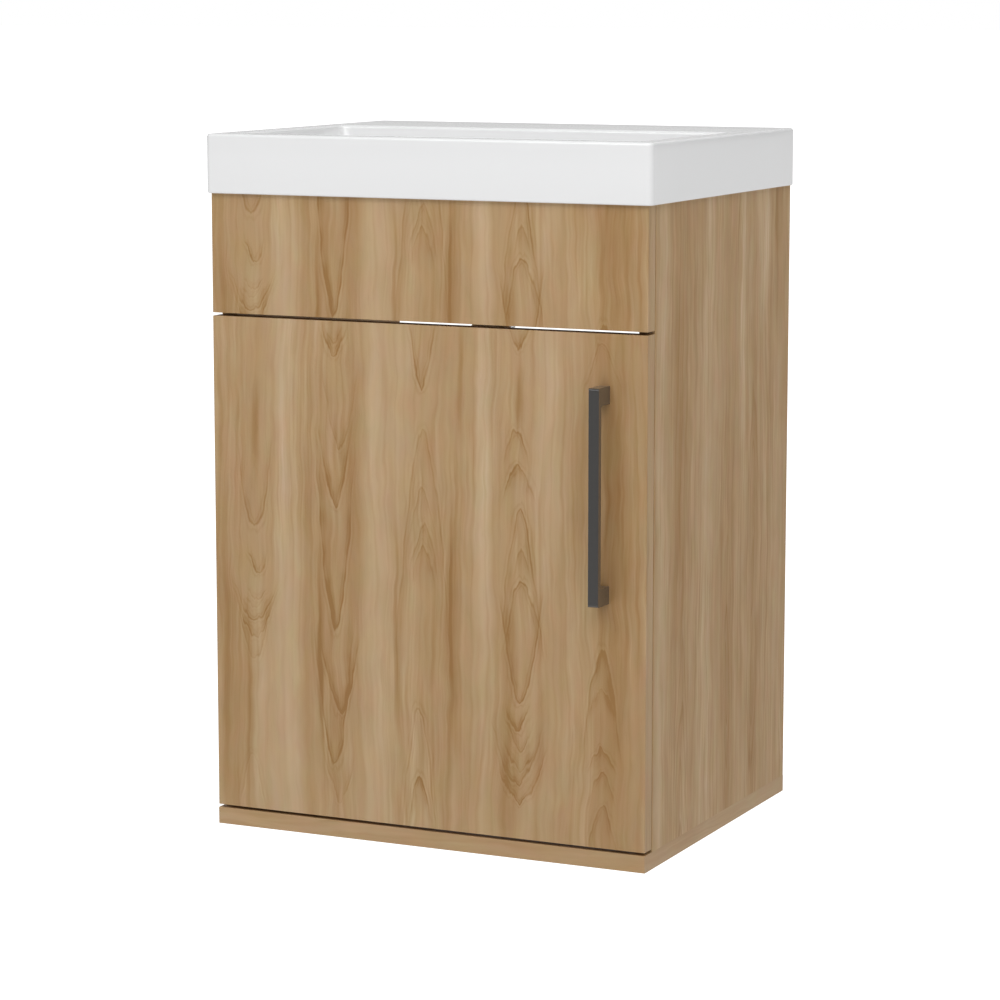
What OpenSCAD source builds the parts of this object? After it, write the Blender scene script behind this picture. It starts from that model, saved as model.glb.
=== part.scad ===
// Wall-hung vanity unit: a narrow cabinet with one door, a fixed front panel and a block basin.
// X runs to the right, Y runs back to the wall, Z runs up. The origin lies on the wall,
// midway between the two wall holes in the hanging rail.

/* [Cabinet] */
// Width of the cabinet body
body_w = 440; // [400:1:600]
// Depth of the cabinet body, from the wall to the front faces
body_d = 354; // [340:1:460]
// Height of the cabinet body without the basin
body_h = 600; // [520:1:720]
// Thickness of the side, base and rail boards
board_t = 16; // [15:1:19]
// Radius on the long edges of the boards
edge_r = 0.8; // [0.4:0.1:1.5]
// Height of the body's top edge above the wall holes
hang_drop = 45; // [35:1:60]

/* [Fronts] */
// Thickness of the door and of the panel above it
front_t = 16; // [16:1:19]
// Height of the fixed front panel
fascia_h = 111; // [100:1:160]
// Open gap above and below the door
front_gap = 3; // [2:0.5:5]
// Gap between the back of the fronts and the side boards
setoff = 1.5; // [1.5:0.1:2.5]

/* [Rails and shelf] */
// Height of the hanging rail
rail_h = 90; // [70:1:110]
// Height of the lower rail
low_rail_h = 70; // [50:1:110]
// Distance between the two wall holes
wall_hole_spacing = 320; // [240:1:340]
// Diameter of the wall holes
wall_hole_d = 8; // [6:0.5:10]
// Height of the shelf's underside above the base board
shelf_rise = 224; // [160:32:256]
// Depth of the shelf
shelf_d = 270; // [200:1:290]
// Distance of the shelf's front edge behind the front edges of the sides
shelf_setback = 30; // [20:1:45]
// Free space at each end of the shelf
shelf_play = 0.5; // [0.3:0.1:1]

/* [Shelf pins] */
// Diameter of a shelf pin's shank
pin_d = 5; // [4:0.5:6]
// Depth of a shelf pin's shank in the side board
pin_depth = 8; // [6:1:10]
// Length of the tongue under the shelf
pin_tongue = 9; // [7:0.5:14]
// Width of the tongue
pin_tongue_w = 8; // [6:0.5:10]
// Thickness of the tongue
pin_tongue_t = 2; // [1.5:0.1:3]
// Distance of the pins from the shelf's front and back edges
pin_inset = 37; // [25:1:60]
// Distance between the rows of pin holes
pin_row = 32; // [25:1:40]
// Width of the collar round a shelf pin's shank
pin_collar_w = 1.25; // [0.8:0.05:2]
// Thickness of the collar
pin_collar_t = 1.2; // [0.8:0.1:1.6]
// Radius on the tongue's corners
pin_tongue_r = 1; // [0.5:0.1:2]
// Thickness of the rib under the tongue
pin_rib_t = 1.6; // [1.2:0.1:2]

/* [Board fittings] */
// Diameter of a cam lock
cam_d = 15; // [12:0.5:16]
// Depth of a cam lock
cam_h = 12; // [10:0.5:12.5]
// Distance of a cam lock's centre from the rail's end
cam_reach = 34; // [24:1:40]
// Diameter of a cam dowel's shaft
cam_bolt_d = 6; // [5:0.5:6.5]
// Diameter of a cam dowel's head
cam_head_d = 7.4; // [7.2:0.1:7.8]
// Length of the thread of a cam dowel in the side board
cam_thread = 11; // [8:1:12]
// Height between the two cam locks at an end of the hanging rail
cam_pitch = 50; // [40:1:60]
// Step in from a cam dowel's shaft to its thread
cam_thread_in = 0.5; // [0.3:0.1:0.8]
// Thickness of a cam dowel's collar
cam_collar_t = 2; // [1.5:0.1:3]
// Reach of a cam dowel past the centre of its lock
cam_past = 3; // [2.5:0.1:3.5]
// Length of the end that the lock grips
cam_grip_l = 3; // [2.5:0.1:3.5]
// Step in from a cam dowel's head to the end that the lock grips
cam_grip_in = 0.4; // [0.2:0.1:0.6]
// Length of the slope behind that end
cam_grip_slope = 0.6; // [0.4:0.1:0.8]
// Length of a cam dowel's thin neck
cam_neck_l = 3; // [2.5:0.1:3.5]
// Step in from a cam dowel's shaft to its neck
cam_neck_in = 1; // [0.8:0.1:1.2]
// Space round a cam dowel's head in the rail
cam_head_play = 0.2; // [0.15:0.05:0.3]
// Space round a cam dowel's head in its lock
cam_slot_play = 0.25; // [0.2:0.05:0.4]
// Space beyond a cam dowel's end in its lock
cam_slot_spare = 1.2; // [0.8:0.1:1.5]
// Length of the cross in a cam lock
cam_cross_l = 8; // [6:0.5:9]
// Width and depth of the cross in a cam lock
cam_cross_w = 1.6; // [1.2:0.1:2]
// Depth left behind a cam lock or a hinge cup in its pocket
pocket_spare = 0.2; // [0.1:0.05:0.4]
// Depth left beyond a cam dowel or a shelf pin in its hole
hole_spare = 0.5; // [0.3:0.1:1]
// Diameter of a wooden dowel
dowel_d = 8; // [6:1:8]
// Length of a wooden dowel
dowel_l = 30; // [25:1:35]
// Depth of a wooden dowel in the base board
dowel_sink = 11; // [8:1:12]
// Distance of the dowels from the front and back edges of the sides
dowel_inset = 40; // [30:1:60]
// Bevel at the ends of a wooden dowel
dowel_edge = 1; // [0.5:0.1:1.5]
// Depth left beyond the ends of a wooden dowel or a base screw
dowel_spare = 1; // [0.5:0.1:2]
// Diameter of a base screw's shank
base_screw_d = 5; // [4:0.5:6]
// Length of a base screw
base_screw_l = 48; // [40:1:60]
// Diameter of a base screw's head
base_head_d = 10; // [9:0.5:11]
// Height of a base screw's countersunk head
base_head_h = 4; // [3:0.5:5]
// Distance of the base screws from the front and back edges of the sides
base_screw_inset = 75; // [65:1:110]
// Length of a base screw's point
base_tip_l = 3; // [2:0.5:5]
// Width of the hexagon in a base screw's head, across its corners
hexagon_d = 4.6; // [4:0.1:5]
// Depth of the hexagon
hexagon_h = 2.2; // [1.6:0.1:2.6]

/* [Front panel brackets] */
// Length of each leg of a bracket
bracket_leg = 24; // [20:1:30]
// Height of a bracket
bracket_h = 46; // [40:1:60]
// Wall of a bracket
bracket_t = 3; // [2:0.1:4]
// Distance of a bracket's lower end above the panel's lower edge
bracket_rise = 8; // [4:1:20]
// Distance between a bracket's two screws on each leg
bracket_pitch = 26; // [20:1:32]
// Board of a bracket's leg left beyond its screw's head
bracket_margin = 1.5; // [1:0.1:2.5]
// Radius on a bracket's upright edges
bracket_r = 0.5; // [0.3:0.1:1]
// Distance of the gusset's edges behind the legs' faces
gusset_inset = 1; // [0.5:0.1:1.5]

/* [Handle] */
// Length of the handle
handle_l = 196; // [150:1:260]
// Width of the handle
handle_w = 10; // [8:0.5:14]
// Distance from the door to the handle's front face
handle_out = 25; // [20:0.5:35]
// Thickness of the grip
grip_t = 6; // [4:0.5:8]
// Height of each foot
foot_h = 16; // [12:0.5:20]
// Radius on the handle's outer corners
handle_r = 2.5; // [1:0.1:4]
// Radius inside the handle's corners
handle_inner_r = 2; // [1:0.1:4]
// Radius on the handle's long edges
handle_edge_r = 0.8; // [0.4:0.1:1.5]
// Distance of the handle's centre from the door's free edge
handle_inset = 41; // [30:1:60]
// Distance of the handle's top from the door's top edge
handle_drop = 46; // [30:1:80]
// Diameter of the handle screws
handle_screw_d = 4; // [3:0.5:5]
// Depth of the screw holes in the feet
handle_bore = 12; // [8:0.5:14]
// Depth left beyond a handle screw in its hole
handle_bore_spare = 1; // [0.5:0.1:2]
// Space round a handle screw in the door
handle_hole_play = 0.5; // [0.3:0.1:1]
// Diameter of the handle screws' heads
handle_head_d = 8.4; // [7:0.1:9]
// Height of the handle screws' heads
handle_head_h = 2.4; // [1.8:0.1:3]

/* [Basin] */
// Overhang of the basin at each side and at the front
basin_over = 4; // [2:0.5:8]
// Height of the basin block above the cabinet
basin_h = 55; // [45:1:90]
// Radius on the basin's upright corners
basin_corner_r = 6; // [5:0.5:15]
// Radius on the basin's top edge
basin_top_r = 3; // [1.5:0.1:4]
// Radius on the basin's bottom edge
basin_foot_r = 1.5; // [1:0.1:3]
// Wall of the basin's skirt
skirt_t = 12; // [10:0.5:12]
// Thickness of the rim and deck
deck_t = 13; // [10:0.5:18]
// Width of the side rims
rim_w = 21; // [18:0.5:30]
// Width of the front rim
rim_front = 21; // [18:0.5:30]
// Depth of the deck behind the bowl
deck_d = 125; // [110:1:140]
// Depth of the bowl
bowl_depth = 105; // [90:1:120]
// Wall of the bowl
bowl_t = 8; // [6:0.5:9]
// Radius in the bowl's upright corners at the rim
bowl_corner_r = 10; // [6:0.5:20]
// Radius on the bowl's rim edge
bowl_lip_r = 3.5; // [2:0.1:5]
// Lean of the bowl's walls from rim to floor
bowl_lean = 16; // [12:1:24]
// Growth of the bowl's corner radius with the lean of its walls, per mm
corner_growth = 0.55; // [0.3:0.05:0.8]
// Radius between the bowl's walls and its floor
bowl_floor_r = 22; // [18:1:24]
// Fall of the bowl's floor to the drain
floor_fall = 7; // [4:0.5:12]
// Distance of the drain behind the middle of the bowl
drain_back = 24; // [0:1:24]
// Width of the bowl's flat seat beyond the waste's flange
seat_margin = 2; // [1:0.5:4]
// Diameter of the knock-out recess for a tap, under the deck
tap_d = 35; // [32:1:38]
// Thickness left over the knock-out recess
tap_skin = 3; // [2:0.5:5]

/* [Waste] */
// Outer diameter of the waste's tail
tail_d = 41.9; // [40:0.1:44]
// Wall of the waste's tail
tail_t = 2.4; // [1.8:0.1:4]
// Length of the waste below the bowl's floor
tail_l = 84; // [70:1:110]
// Diameter of the waste's flange
flange_d = 64; // [58:0.5:66]
// Thickness of the waste's flange
flange_t = 2.5; // [2:0.1:4]
// Bevel on the edge of the waste's flange
flange_edge = 1; // [0.5:0.1:1.5]
// Space between the waste's tail and the drain hole
drain_play = 1.5; // [0.5:0.1:2.5]
// Thickness of each waste seal
seal_t = 3; // [2:0.1:4]
// Height of the back nut
nut_h = 9; // [7:0.5:14]
// Width of the back nut across its flats
nut_af = 56; // [52:0.5:60]
// Thickness of the back nut's washer face
nut_face_t = 2; // [1:0.1:3]
// Width of the groove where the thread ends
groove_w = 2; // [1.5:0.1:3]
// Bevel at the ends of the tail and of its groove
tail_edge = 0.6; // [0.4:0.1:1]
// Height of the slopes of the groove
groove_slope = 0.5; // [0.3:0.1:0.7]
// Diameter of the waste plug
plug_d = 55; // [48:0.5:56]
// Thickness of the waste plug at its edge
plug_t = 2.5; // [2:0.1:4]
// Rise of the waste plug's crown
plug_crown = 2.5; // [1:0.1:4]
// Diameter of the plug's stem
stem_d = 8; // [6:0.5:10]
// Bevel at the foot of the plug's stem
stem_edge = 0.5; // [0.3:0.1:1]
// Running clearance round the plug's stem
stem_play = 0.08; // [0.05:0.01:0.15]
// Space between the plug and the edge of its seat
plug_play = 0.3; // [0.2:0.05:0.5]
// Space under the plug when it is closed
plug_gap = 0.2; // [0.1:0.05:0.4]
// Bevel at the edge of the plug's seat
seat_bevel = 0.5; // [0.3:0.1:0.8]
// Fall of the seat to the tail's bore
seat_fall = 1.2; // [0.8:0.1:1.6]
// Height of the guide round the stem
guide_h = 14; // [10:1:18]
// Distance of the guide below the plug
guide_drop = 12; // [10:1:16]
// Wall of the guide
guide_t = 1.5; // [1:0.1:2.5]
// Width of the spokes that carry the guide
spoke_w = 2; // [1.5:0.1:3]
// Height of the spokes' lower edges above the guide's foot
spoke_rise = 2; // [1:0.5:4]

/* [Hinges] */
// Distance of a hinge's centre from the door's end
hinge_inset = 92; // [75:1:120]
// Diameter of a hinge cup
cup_d = 35; // [35:1:40]
// Depth of a hinge cup in the door
cup_h = 12.3; // [12:0.1:13]
// Board left between the door's edge and the cup
cup_tab = 3; // [3:0.1:3.6]
// Wall of a hinge cup
cup_t = 1; // [0.8:0.1:1.2]
// Thickness of a hinge cup's flange
cup_flange_t = 0.8; // [0.6:0.1:1]
// Width of the ring of the flange round the cup
cup_flange_w = 2.5; // [2:0.1:4]
// Distance between a cup's two screws
cup_screw_pitch = 48; // [45:1:52]
// Distance of the cup's screws behind its centre, away from the door's edge
cup_screw_off = 7; // [5:0.5:9.5]
// Length of the cup screws below their heads
cup_screw_l = 12; // [10:0.5:12.5]
// Width of a wing beyond its screw's head
wing_margin = 2.5; // [2:0.1:3.5]
// Distance of the cup pivot from the cup's centre
cup_pivot_off = 10.5; // [10:0.1:11]
// Distance of the cup pivot below the door's back face
cup_pivot_deep = 6; // [5.8:0.1:6.2]
// Distance of the arm pivot from the side board's inner face
arm_pivot_in = 11.5; // [11.3:0.1:12]
// Distance of the arm pivot behind the door's back face
arm_pivot_back = 6; // [5.8:0.1:6.5]
// Thickness of the link
link_t = 2.8; // [2.2:0.1:3]
// Width of the link
link_w = 13; // [12:0.5:14]
// Thickness of each ear of the link
ear_t = 1.5; // [1.2:0.1:2]
// Radius of the link's eyes
eye_r = 2.5; // [2.4:0.1:2.6]
// Depth of the link's hook below the door's back face
hook_deep = 9; // [8.8:0.1:9.2]
// Distance of the hook's first bend from the cup pivot
hook_start = 6.5; // [6.3:0.1:6.8]
// Distance of the hook's second bend from the arm pivot
hook_end = 1; // [0.8:0.1:1.2]
// Radius kept free between the ears for what turns there
ear_room_r = 3.4; // [3.3:0.1:3.6]
// Diameter of the pivot pins
pivot_d = 3; // [2.5:0.1:3]
// Radial running clearance at the pivot pins
pivot_play = 0.05; // [0.03:0.01:0.08]
// Side clearance between the link's ears and what they straddle
side_play = 0.3; // [0.2:0.05:0.5]
// Length of a hinge arm behind its pivot
arm_l = 58; // [52:1:70]
// Thickness of the sheet of a hinge arm
arm_t = 1.2; // [1:0.1:1.5]
// Distance of a hinge arm's front end behind its pivot
arm_lead = 5; // [4.8:0.1:5.4]
// Radius on a hinge arm's long edges
arm_r = 0.6; // [0.4:0.1:0.6]
// Diameter of the two screws in a hinge arm
arm_screw_d = 4; // [3.5:0.1:4.5]
// Distance of the arm screws from the ends of the mounting plate
arm_screw_inset = 8; // [7:0.5:10]
// Space left under the arm screws, down to the side board
arm_screw_spare = 1.2; // [1:0.1:1.6]
// Distance of the mounting plate's centre from the front edge of the side
plate_back = 37; // [35:1:40]
// Distance between a mounting plate's two screws
plate_pitch = 32; // [28:1:36]
// Length of a mounting plate's raised block
plate_l = 42; // [36:1:46]
// Width of a mounting plate's raised block
plate_w = 11; // [10:0.1:12]
// Height of the block
plate_h = 5; // [4:0.1:5.5]
// Thickness of a mounting plate's wings
wing_t = 1.6; // [1.2:0.1:2]
// Length of a mounting plate's wings beyond their screws' heads
wing_end = 2; // [1.5:0.1:3]
// Radius on the corners of the wings
wing_r = 3; // [2:0.1:4]
// Radius on the edges of the raised block
plate_r = 0.5; // [0.3:0.1:0.8]
// Sheet left under the holes of the arm screws
plate_floor = 0.6; // [0.4:0.1:0.8]
// Thickness of the webs that carry the pivots
web_t = 4.2; // [4:0.1:4.4]
// Thickness of the web's tie to the arm's sheet
web_tie_t = 3; // [2.6:0.1:3.2]
// Distance of the web's end inside the arm's faces
web_in = 1.6; // [1.4:0.1:1.8]
// Overlap of the web's tie with the arm
web_tie_in = 1; // [0.8:0.1:1.2]
// Lean of the cup's web away from its pivot
web_lean = 0.6; // [0.4:0.1:0.8]
// Space between the cup pivot's eye and the mouth of the cup
mouth_gap = 0.6; // [0.5:0.1:0.8]
// Space at each side of the link in the cup's flange
mouth_play = 2; // [1.5:0.1:2.5]
// Depth of the slot in the cup's wall for the link
slot_deep = 2.2; // [2:0.1:2.5]
// Space at each side of the link in that slot
slot_play = 0.8; // [0.6:0.1:1]

/* [Small screws and bumpers] */
// Diameter of the wood screws
screw_d = 3.5; // [3:0.1:4]
// Diameter of the wood screws' heads
screw_head_d = 7; // [6:0.1:8]
// Height of the wood screws' heads
screw_head_h = 2; // [1.6:0.1:2.4]
// Length of the wood screws below their heads
screw_l = 13; // [10:0.5:14]
// Clearance round a screw's shank or a dowel
fit = 0.05; // [0.03:0.01:0.1]
// Diameter of a door bumper
bumper_d = 9; // [7:0.5:12]
// Distance of a bumper's centre from the door's free edge
bumper_inset = 8; // [6:0.5:10]
// Distance of a bumper's centre from the door's ends
bumper_drop = 14; // [10:1:30]
// Space left between a bumper and the side board
bumper_play = 0.3; // [0.2:0.05:0.4]
// Share of a bumper's height that is rounded
bumper_round = 0.6; // [0.3:0.1:0.8]

/* [Hidden] */
$fn = 48;

// Reach of a cut past the face that it opens
eps = 1;

// Cabinet planes
top_z = hang_drop;
base_z = top_z - body_h;
side_z = base_z + board_t;
side_x = body_w / 2;
inner_x = side_x - board_t;
front_y = -body_d;
back_y = front_y + front_t;
carcass_y = back_y + setoff;
fascia_z = top_z - fascia_h;
door_z = side_z + front_gap;
door_top = fascia_z - front_gap;
door_x = -side_x;
rail_mid_y = -board_t / 2;
rail_z = top_z - rail_h;

// Shelf
shelf_z = side_z + shelf_rise;
shelf_front = carcass_y + shelf_setback;
pin_ys = [shelf_front + pin_inset, shelf_front + shelf_d - pin_inset];
pin_z = shelf_z - pin_tongue_t - pin_d / 2;

// Board fittings
cam_zs = [rail_z + rail_h / 2 - cam_pitch / 2, rail_z + rail_h / 2 + cam_pitch / 2, side_z + low_rail_h / 2];
dowel_ys = [carcass_y + dowel_inset, -dowel_inset];
base_screw_ys = [carcass_y + base_screw_inset, -base_screw_inset];
joint_x = side_x - board_t / 2;

// Front panel brackets
bracket_z = fascia_z + bracket_rise;
bracket_zs = [bracket_z + bracket_h / 2 - bracket_pitch / 2, bracket_z + bracket_h / 2 + bracket_pitch / 2];
bracket_screw = bracket_leg - screw_head_d / 2 - bracket_margin;

// Handle
handle_x = side_x - handle_inset;
handle_top = door_top - handle_drop;
handle_zs = [handle_top - foot_h / 2, handle_top - handle_l + foot_h / 2];

// Basin
basin_top = top_z + basin_h;
basin_x = side_x + basin_over;
basin_front = front_y - basin_over;
bowl_x = basin_x - rim_w;
bowl_front = basin_front + rim_front;
bowl_back = -deck_d;
bowl_y = (bowl_front + bowl_back) / 2;
bowl_hy = (bowl_back - bowl_front) / 2;
bowl_z = basin_top - bowl_depth;
drain_y = bowl_y + drain_back;
seat_r = flange_d / 2 + seat_margin;
drain_r = tail_d / 2 + drain_play;
under_z = bowl_z - bowl_t;
tap_y = -deck_d / 2;
corner_steps = 6;
round_steps = 4;
speck = 0.01;

// Waste
flange_z = bowl_z + flange_t;
seal_r = flange_d / 2 - flange_edge;
plug_z = flange_z - plug_t / 2;
guide_z = plug_z - guide_drop - guide_h;
guide_bore = stem_d + 2 * stem_play;
crown_steps = 8;

// Hinges, in the plane seen from above
hinge_zs = [door_z + hinge_inset, door_top - hinge_inset];
cup_x = door_x + cup_tab + cup_d / 2;
cup_pivot = [cup_x - cup_pivot_off, back_y - cup_pivot_deep];
arm_pivot = [-inner_x + arm_pivot_in, back_y + arm_pivot_back];
hook = [[cup_pivot[0] + hook_start, back_y - hook_deep], [arm_pivot[0] - hook_end, back_y - hook_deep]];
knuckle_h = link_w - 2 * ear_t - 2 * side_play;
plate_y = carcass_y + plate_back;
arm_front = arm_pivot[1] + arm_lead;
arm_back = arm_pivot[1] + arm_l;
arm_x = -inner_x + plate_h + side_play;
arm_foot = -inner_x + wing_t + side_play;
arm_screw_ys = [plate_y - plate_l / 2 + arm_screw_inset, plate_y + plate_l / 2 - arm_screw_inset];
plate_screw_zs = [-plate_pitch / 2, plate_pitch / 2];
wing_w = screw_head_d + 2 * wing_margin;
web_end = [arm_x + arm_t - web_in, arm_front + web_in];

// Proportions of the small screws: the point's length and end against the shank's diameter, the cross's
// reach and width against the head's diameter, and the height left under the cross against the head's height
tip_share = 0.6;
point_share = 0.3;
cross_reach = 0.28;
cross_w = 0.14;
cross_floor = 0.45;
head_rim_h = 0.3;
base_point_share = 0.4;

// Colours
oak = [0.72, 0.57, 0.40];
white = [0.95, 0.95, 0.95];
chrome = [0.78, 0.79, 0.80];
steel = [0.66, 0.67, 0.68];
anthracite = [0.28, 0.29, 0.30];
plastic = [0.85, 0.84, 0.80];
beech = [0.80, 0.66, 0.46];
rubber = [0.16, 0.16, 0.16];
clear = [0.90, 0.92, 0.92];

// A board from corner a to corner b, with its edges along the given axis rounded
module board(a, b, axis = "z", r = edge_r) {
    d = b - a;
    if (axis == "z") translate(a) linear_extrude(d[2]) rounded(d[0], d[1], r);
    if (axis == "x") translate(a) rotate([90, 0, 90]) linear_extrude(d[0]) rounded(d[1], d[2], r);
}

// A rectangle with round corners, from the origin
module rounded(w, h, r) {
    translate([r, 0]) square([w - 2 * r, h]);
    translate([0, r]) square([w, h - 2 * r]);
    for (x = [r, w - r]) for (y = [r, h - r]) translate([x, y]) circle(r);
}

// A straight bar with round ends between two points of a plane
module bar(p, q, w) {
    d = q - p;
    translate(p) circle(w / 2);
    translate(q) circle(w / 2);
    translate(p) rotate(atan2(d[1], d[0])) translate([0, -w / 2]) square([norm(d), w]);
}

// A hole or a rod along one axis, starting at point p and running the length l
module along_x(p, d, l) { translate(p) rotate([0, 90, 0]) cylinder(d = d, h = l); }
module along_y(p, d, l) { translate(p) rotate([-90, 0, 0]) cylinder(d = d, h = l); }
module along_z(p, d, l) { translate(p) cylinder(d = d, h = l); }

// A screw whose shank runs down from the origin and whose domed head with a cross lies above it
module screw(d, l, head_d, head_h) {
    dome_r = (head_d * head_d / 4 + head_h * head_h) / (2 * head_h);
    tip = d * tip_share;
    difference() {
        union() {
            intersection() {
                cylinder(d = head_d, h = head_h);
                translate([0, 0, head_h + head_rim_h - dome_r]) sphere(dome_r, $fn = 64);
            }
            translate([0, 0, tip - l]) cylinder(d = d, h = l - tip);
            translate([0, 0, -l]) cylinder(d1 = d * point_share, d2 = d, h = tip);
        }
        for (a = [0, 90]) rotate(a)
            translate([-head_d * cross_reach, -head_d * cross_w / 2, head_h * cross_floor])
                cube([2 * head_d * cross_reach, head_d * cross_w, head_h]);
    }
}

// One ring of points of a lofted form: half width, half depth, centre in depth, corner radius, height
function ring(hx, hy, cy, r, z) = [for (k = [0:3]) for (i = [0:corner_steps])
    let (a = 90 * k + 90 * i / corner_steps, sx = (k == 0 || k == 3) ? 1 : -1, sy = k < 2 ? 1 : -1)
    [sx * (hx - r) + r * cos(a), cy + sy * (hy - r) + r * sin(a), z]];

// A closed form through rings listed from the bottom up
module loft(rings) {
    n = len(rings[0]);
    m = len(rings);
    points = [for (r = rings) each r];
    sides = [for (j = [0:m - 2]) for (i = [0:n - 1]) let (a = j * n + i, b = j * n + (i + 1) % n)
        each [[a, b + n, b], [a, a + n, b + n]]];
    bottom = [[for (i = [0:n - 1]) i]];
    top = [[for (i = [n - 1:-1:0]) (m - 1) * n + i]];
    polyhedron(points, concat(sides, bottom, top));
}

// Basin block: rounded at its foot and at its top edge
function block_ring(inset, z) =
    ring(basin_x - inset, -basin_front / 2 - inset, basin_front / 2, basin_corner_r - inset, z);
function block_rings() = concat(
    [for (i = [0:round_steps]) let (a = 90 * i / round_steps)
        block_ring(basin_foot_r * (1 - sin(a)), top_z + basin_foot_r * (1 - cos(a)))],
    [for (i = [0:round_steps]) let (a = 90 * i / round_steps)
        block_ring(basin_top_r * (1 - cos(a)), basin_top - basin_top_r * (1 - sin(a)))]);

// Bowl: a flat seat at the drain, a falling floor, a round foot, leaning walls and a round lip.
// grow is the wall added outside the bowl's own surface
function bowl_ring(inset, z, grow) = ring(bowl_x - inset + grow, bowl_hy - inset + grow, bowl_y,
    bowl_corner_r + inset * corner_growth + grow, z);
function bowl_foot(grow) = [for (i = [0:corner_steps]) let (a = 90 * i / corner_steps)
    bowl_ring(bowl_lean + bowl_floor_r * (1 - sin(a)),
        bowl_z + floor_fall + bowl_floor_r * (1 - cos(a)) - grow * cos(a), grow * sin(a))];
function bowl_rings() = concat(
    [ring(seat_r, seat_r, drain_y, seat_r - speck, bowl_z)],
    bowl_foot(0),
    [for (i = [0:round_steps]) let (a = 90 * i / round_steps)
        bowl_ring(-bowl_lip_r * (1 - cos(a)), basin_top - bowl_lip_r * (1 - sin(a)), 0)],
    [bowl_ring(-bowl_lip_r, basin_top + eps, 0)]);
function shell_rings() = concat(
    [ring(seat_r + bowl_t, seat_r + bowl_t, drain_y, seat_r + bowl_t - speck, under_z)],
    bowl_foot(bowl_t),
    [bowl_ring(0, basin_top - deck_t / 2, bowl_t)]);

module basin() {
    color(white) difference() {
        union() {
            difference() {
                loft(block_rings());
                translate([0, 0, -eps]) board([-basin_x + skirt_t, basin_front + skirt_t, top_z],
                    [basin_x - skirt_t, -skirt_t, basin_top - deck_t + eps], "z", basin_corner_r);
            }
            loft(shell_rings());
        }
        loft(bowl_rings());
        along_z([0, drain_y, under_z - eps], 2 * drain_r, bowl_t + 2 * eps);
        along_z([0, tap_y, top_z], tap_d, basin_h - tap_skin);
    }
}

module waste_body() {
    r = tail_d / 2;
    nut_z = under_z - seal_t - nut_h;
    color(chrome) translate([0, drain_y, 0]) {
        rotate_extrude() polygon([
            [r - tail_t, bowl_z - tail_l], [r - tail_edge, bowl_z - tail_l], [r, bowl_z - tail_l + tail_edge],
            [r, nut_z - groove_w], [r - tail_edge, nut_z - groove_w + groove_slope],
            [r - tail_edge, nut_z - groove_slope], [r, nut_z], [r, bowl_z], [flange_d / 2, bowl_z],
            [flange_d / 2, flange_z - flange_edge], [flange_d / 2 - flange_edge, flange_z],
            [plug_d / 2 + plug_play + seat_bevel, flange_z], [plug_d / 2 + plug_play, plug_z - plug_gap],
            [r - tail_t, plug_z - plug_gap - seat_fall]]);
        difference() {
            union() {
                along_z([0, 0, guide_z], guide_bore + 2 * guide_t, guide_h);
                for (a = [30, 90, 150]) rotate(a)
                    translate([-(r - tail_t / 2), -spoke_w / 2, guide_z + spoke_rise])
                        cube([2 * (r - tail_t / 2), spoke_w, guide_h / 2]);
            }
            along_z([0, 0, guide_z - eps], guide_bore, guide_h + 2 * eps);
        }
    }
}

module waste_seal() {
    color(rubber) translate([0, drain_y, under_z - seal_t]) difference() {
        cylinder(r = seal_r, h = seal_t);
        translate([0, 0, -eps]) cylinder(d = tail_d + 2 * fit, h = seal_t + 2 * eps);
    }
}

module waste_nut() {
    color(chrome) translate([0, drain_y, under_z - seal_t - nut_h]) difference() {
        union() {
            cylinder(d = nut_af / cos(30), h = nut_h - nut_face_t, $fn = 6);
            translate([0, 0, nut_h - nut_face_t]) cylinder(r = seal_r, h = nut_face_t);
        }
        translate([0, 0, -eps]) cylinder(d = tail_d + 2 * fit, h = nut_h + 2 * eps);
    }
}

module waste_plug() {
    r = plug_d / 2;
    crown_r = (r * r + plug_crown * plug_crown) / (2 * plug_crown);
    foot = -guide_drop - guide_h;
    color(chrome) translate([0, drain_y, plug_z]) rotate_extrude() polygon(concat(
        [[0, foot], [stem_d / 2 - stem_edge, foot], [stem_d / 2, foot + stem_edge], [stem_d / 2, 0], [r, 0]],
        [for (i = [0:crown_steps]) let (x = r * (1 - i / crown_steps))
            [x, plug_t + plug_crown - crown_r + sqrt(crown_r * crown_r - x * x)]]));
}

module base_panel() {
    color(oak) difference() {
        board([-side_x, front_y, base_z], [side_x, 0, side_z], "x");
        for (s = [-1, 1]) {
            for (y = dowel_ys) along_z([s * joint_x, y, side_z - dowel_sink - dowel_spare], dowel_d + 2 * fit,
                dowel_sink + dowel_spare + eps);
            for (y = base_screw_ys) {
                along_z([s * joint_x, y, base_z - eps], base_screw_d + 2 * fit, board_t + 2 * eps);
                translate([s * joint_x, y, base_z - fit])
                    cylinder(d1 = base_head_d + 4 * fit, d2 = base_screw_d + 2 * fit, h = base_head_h + fit);
            }
        }
    }
}

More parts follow.
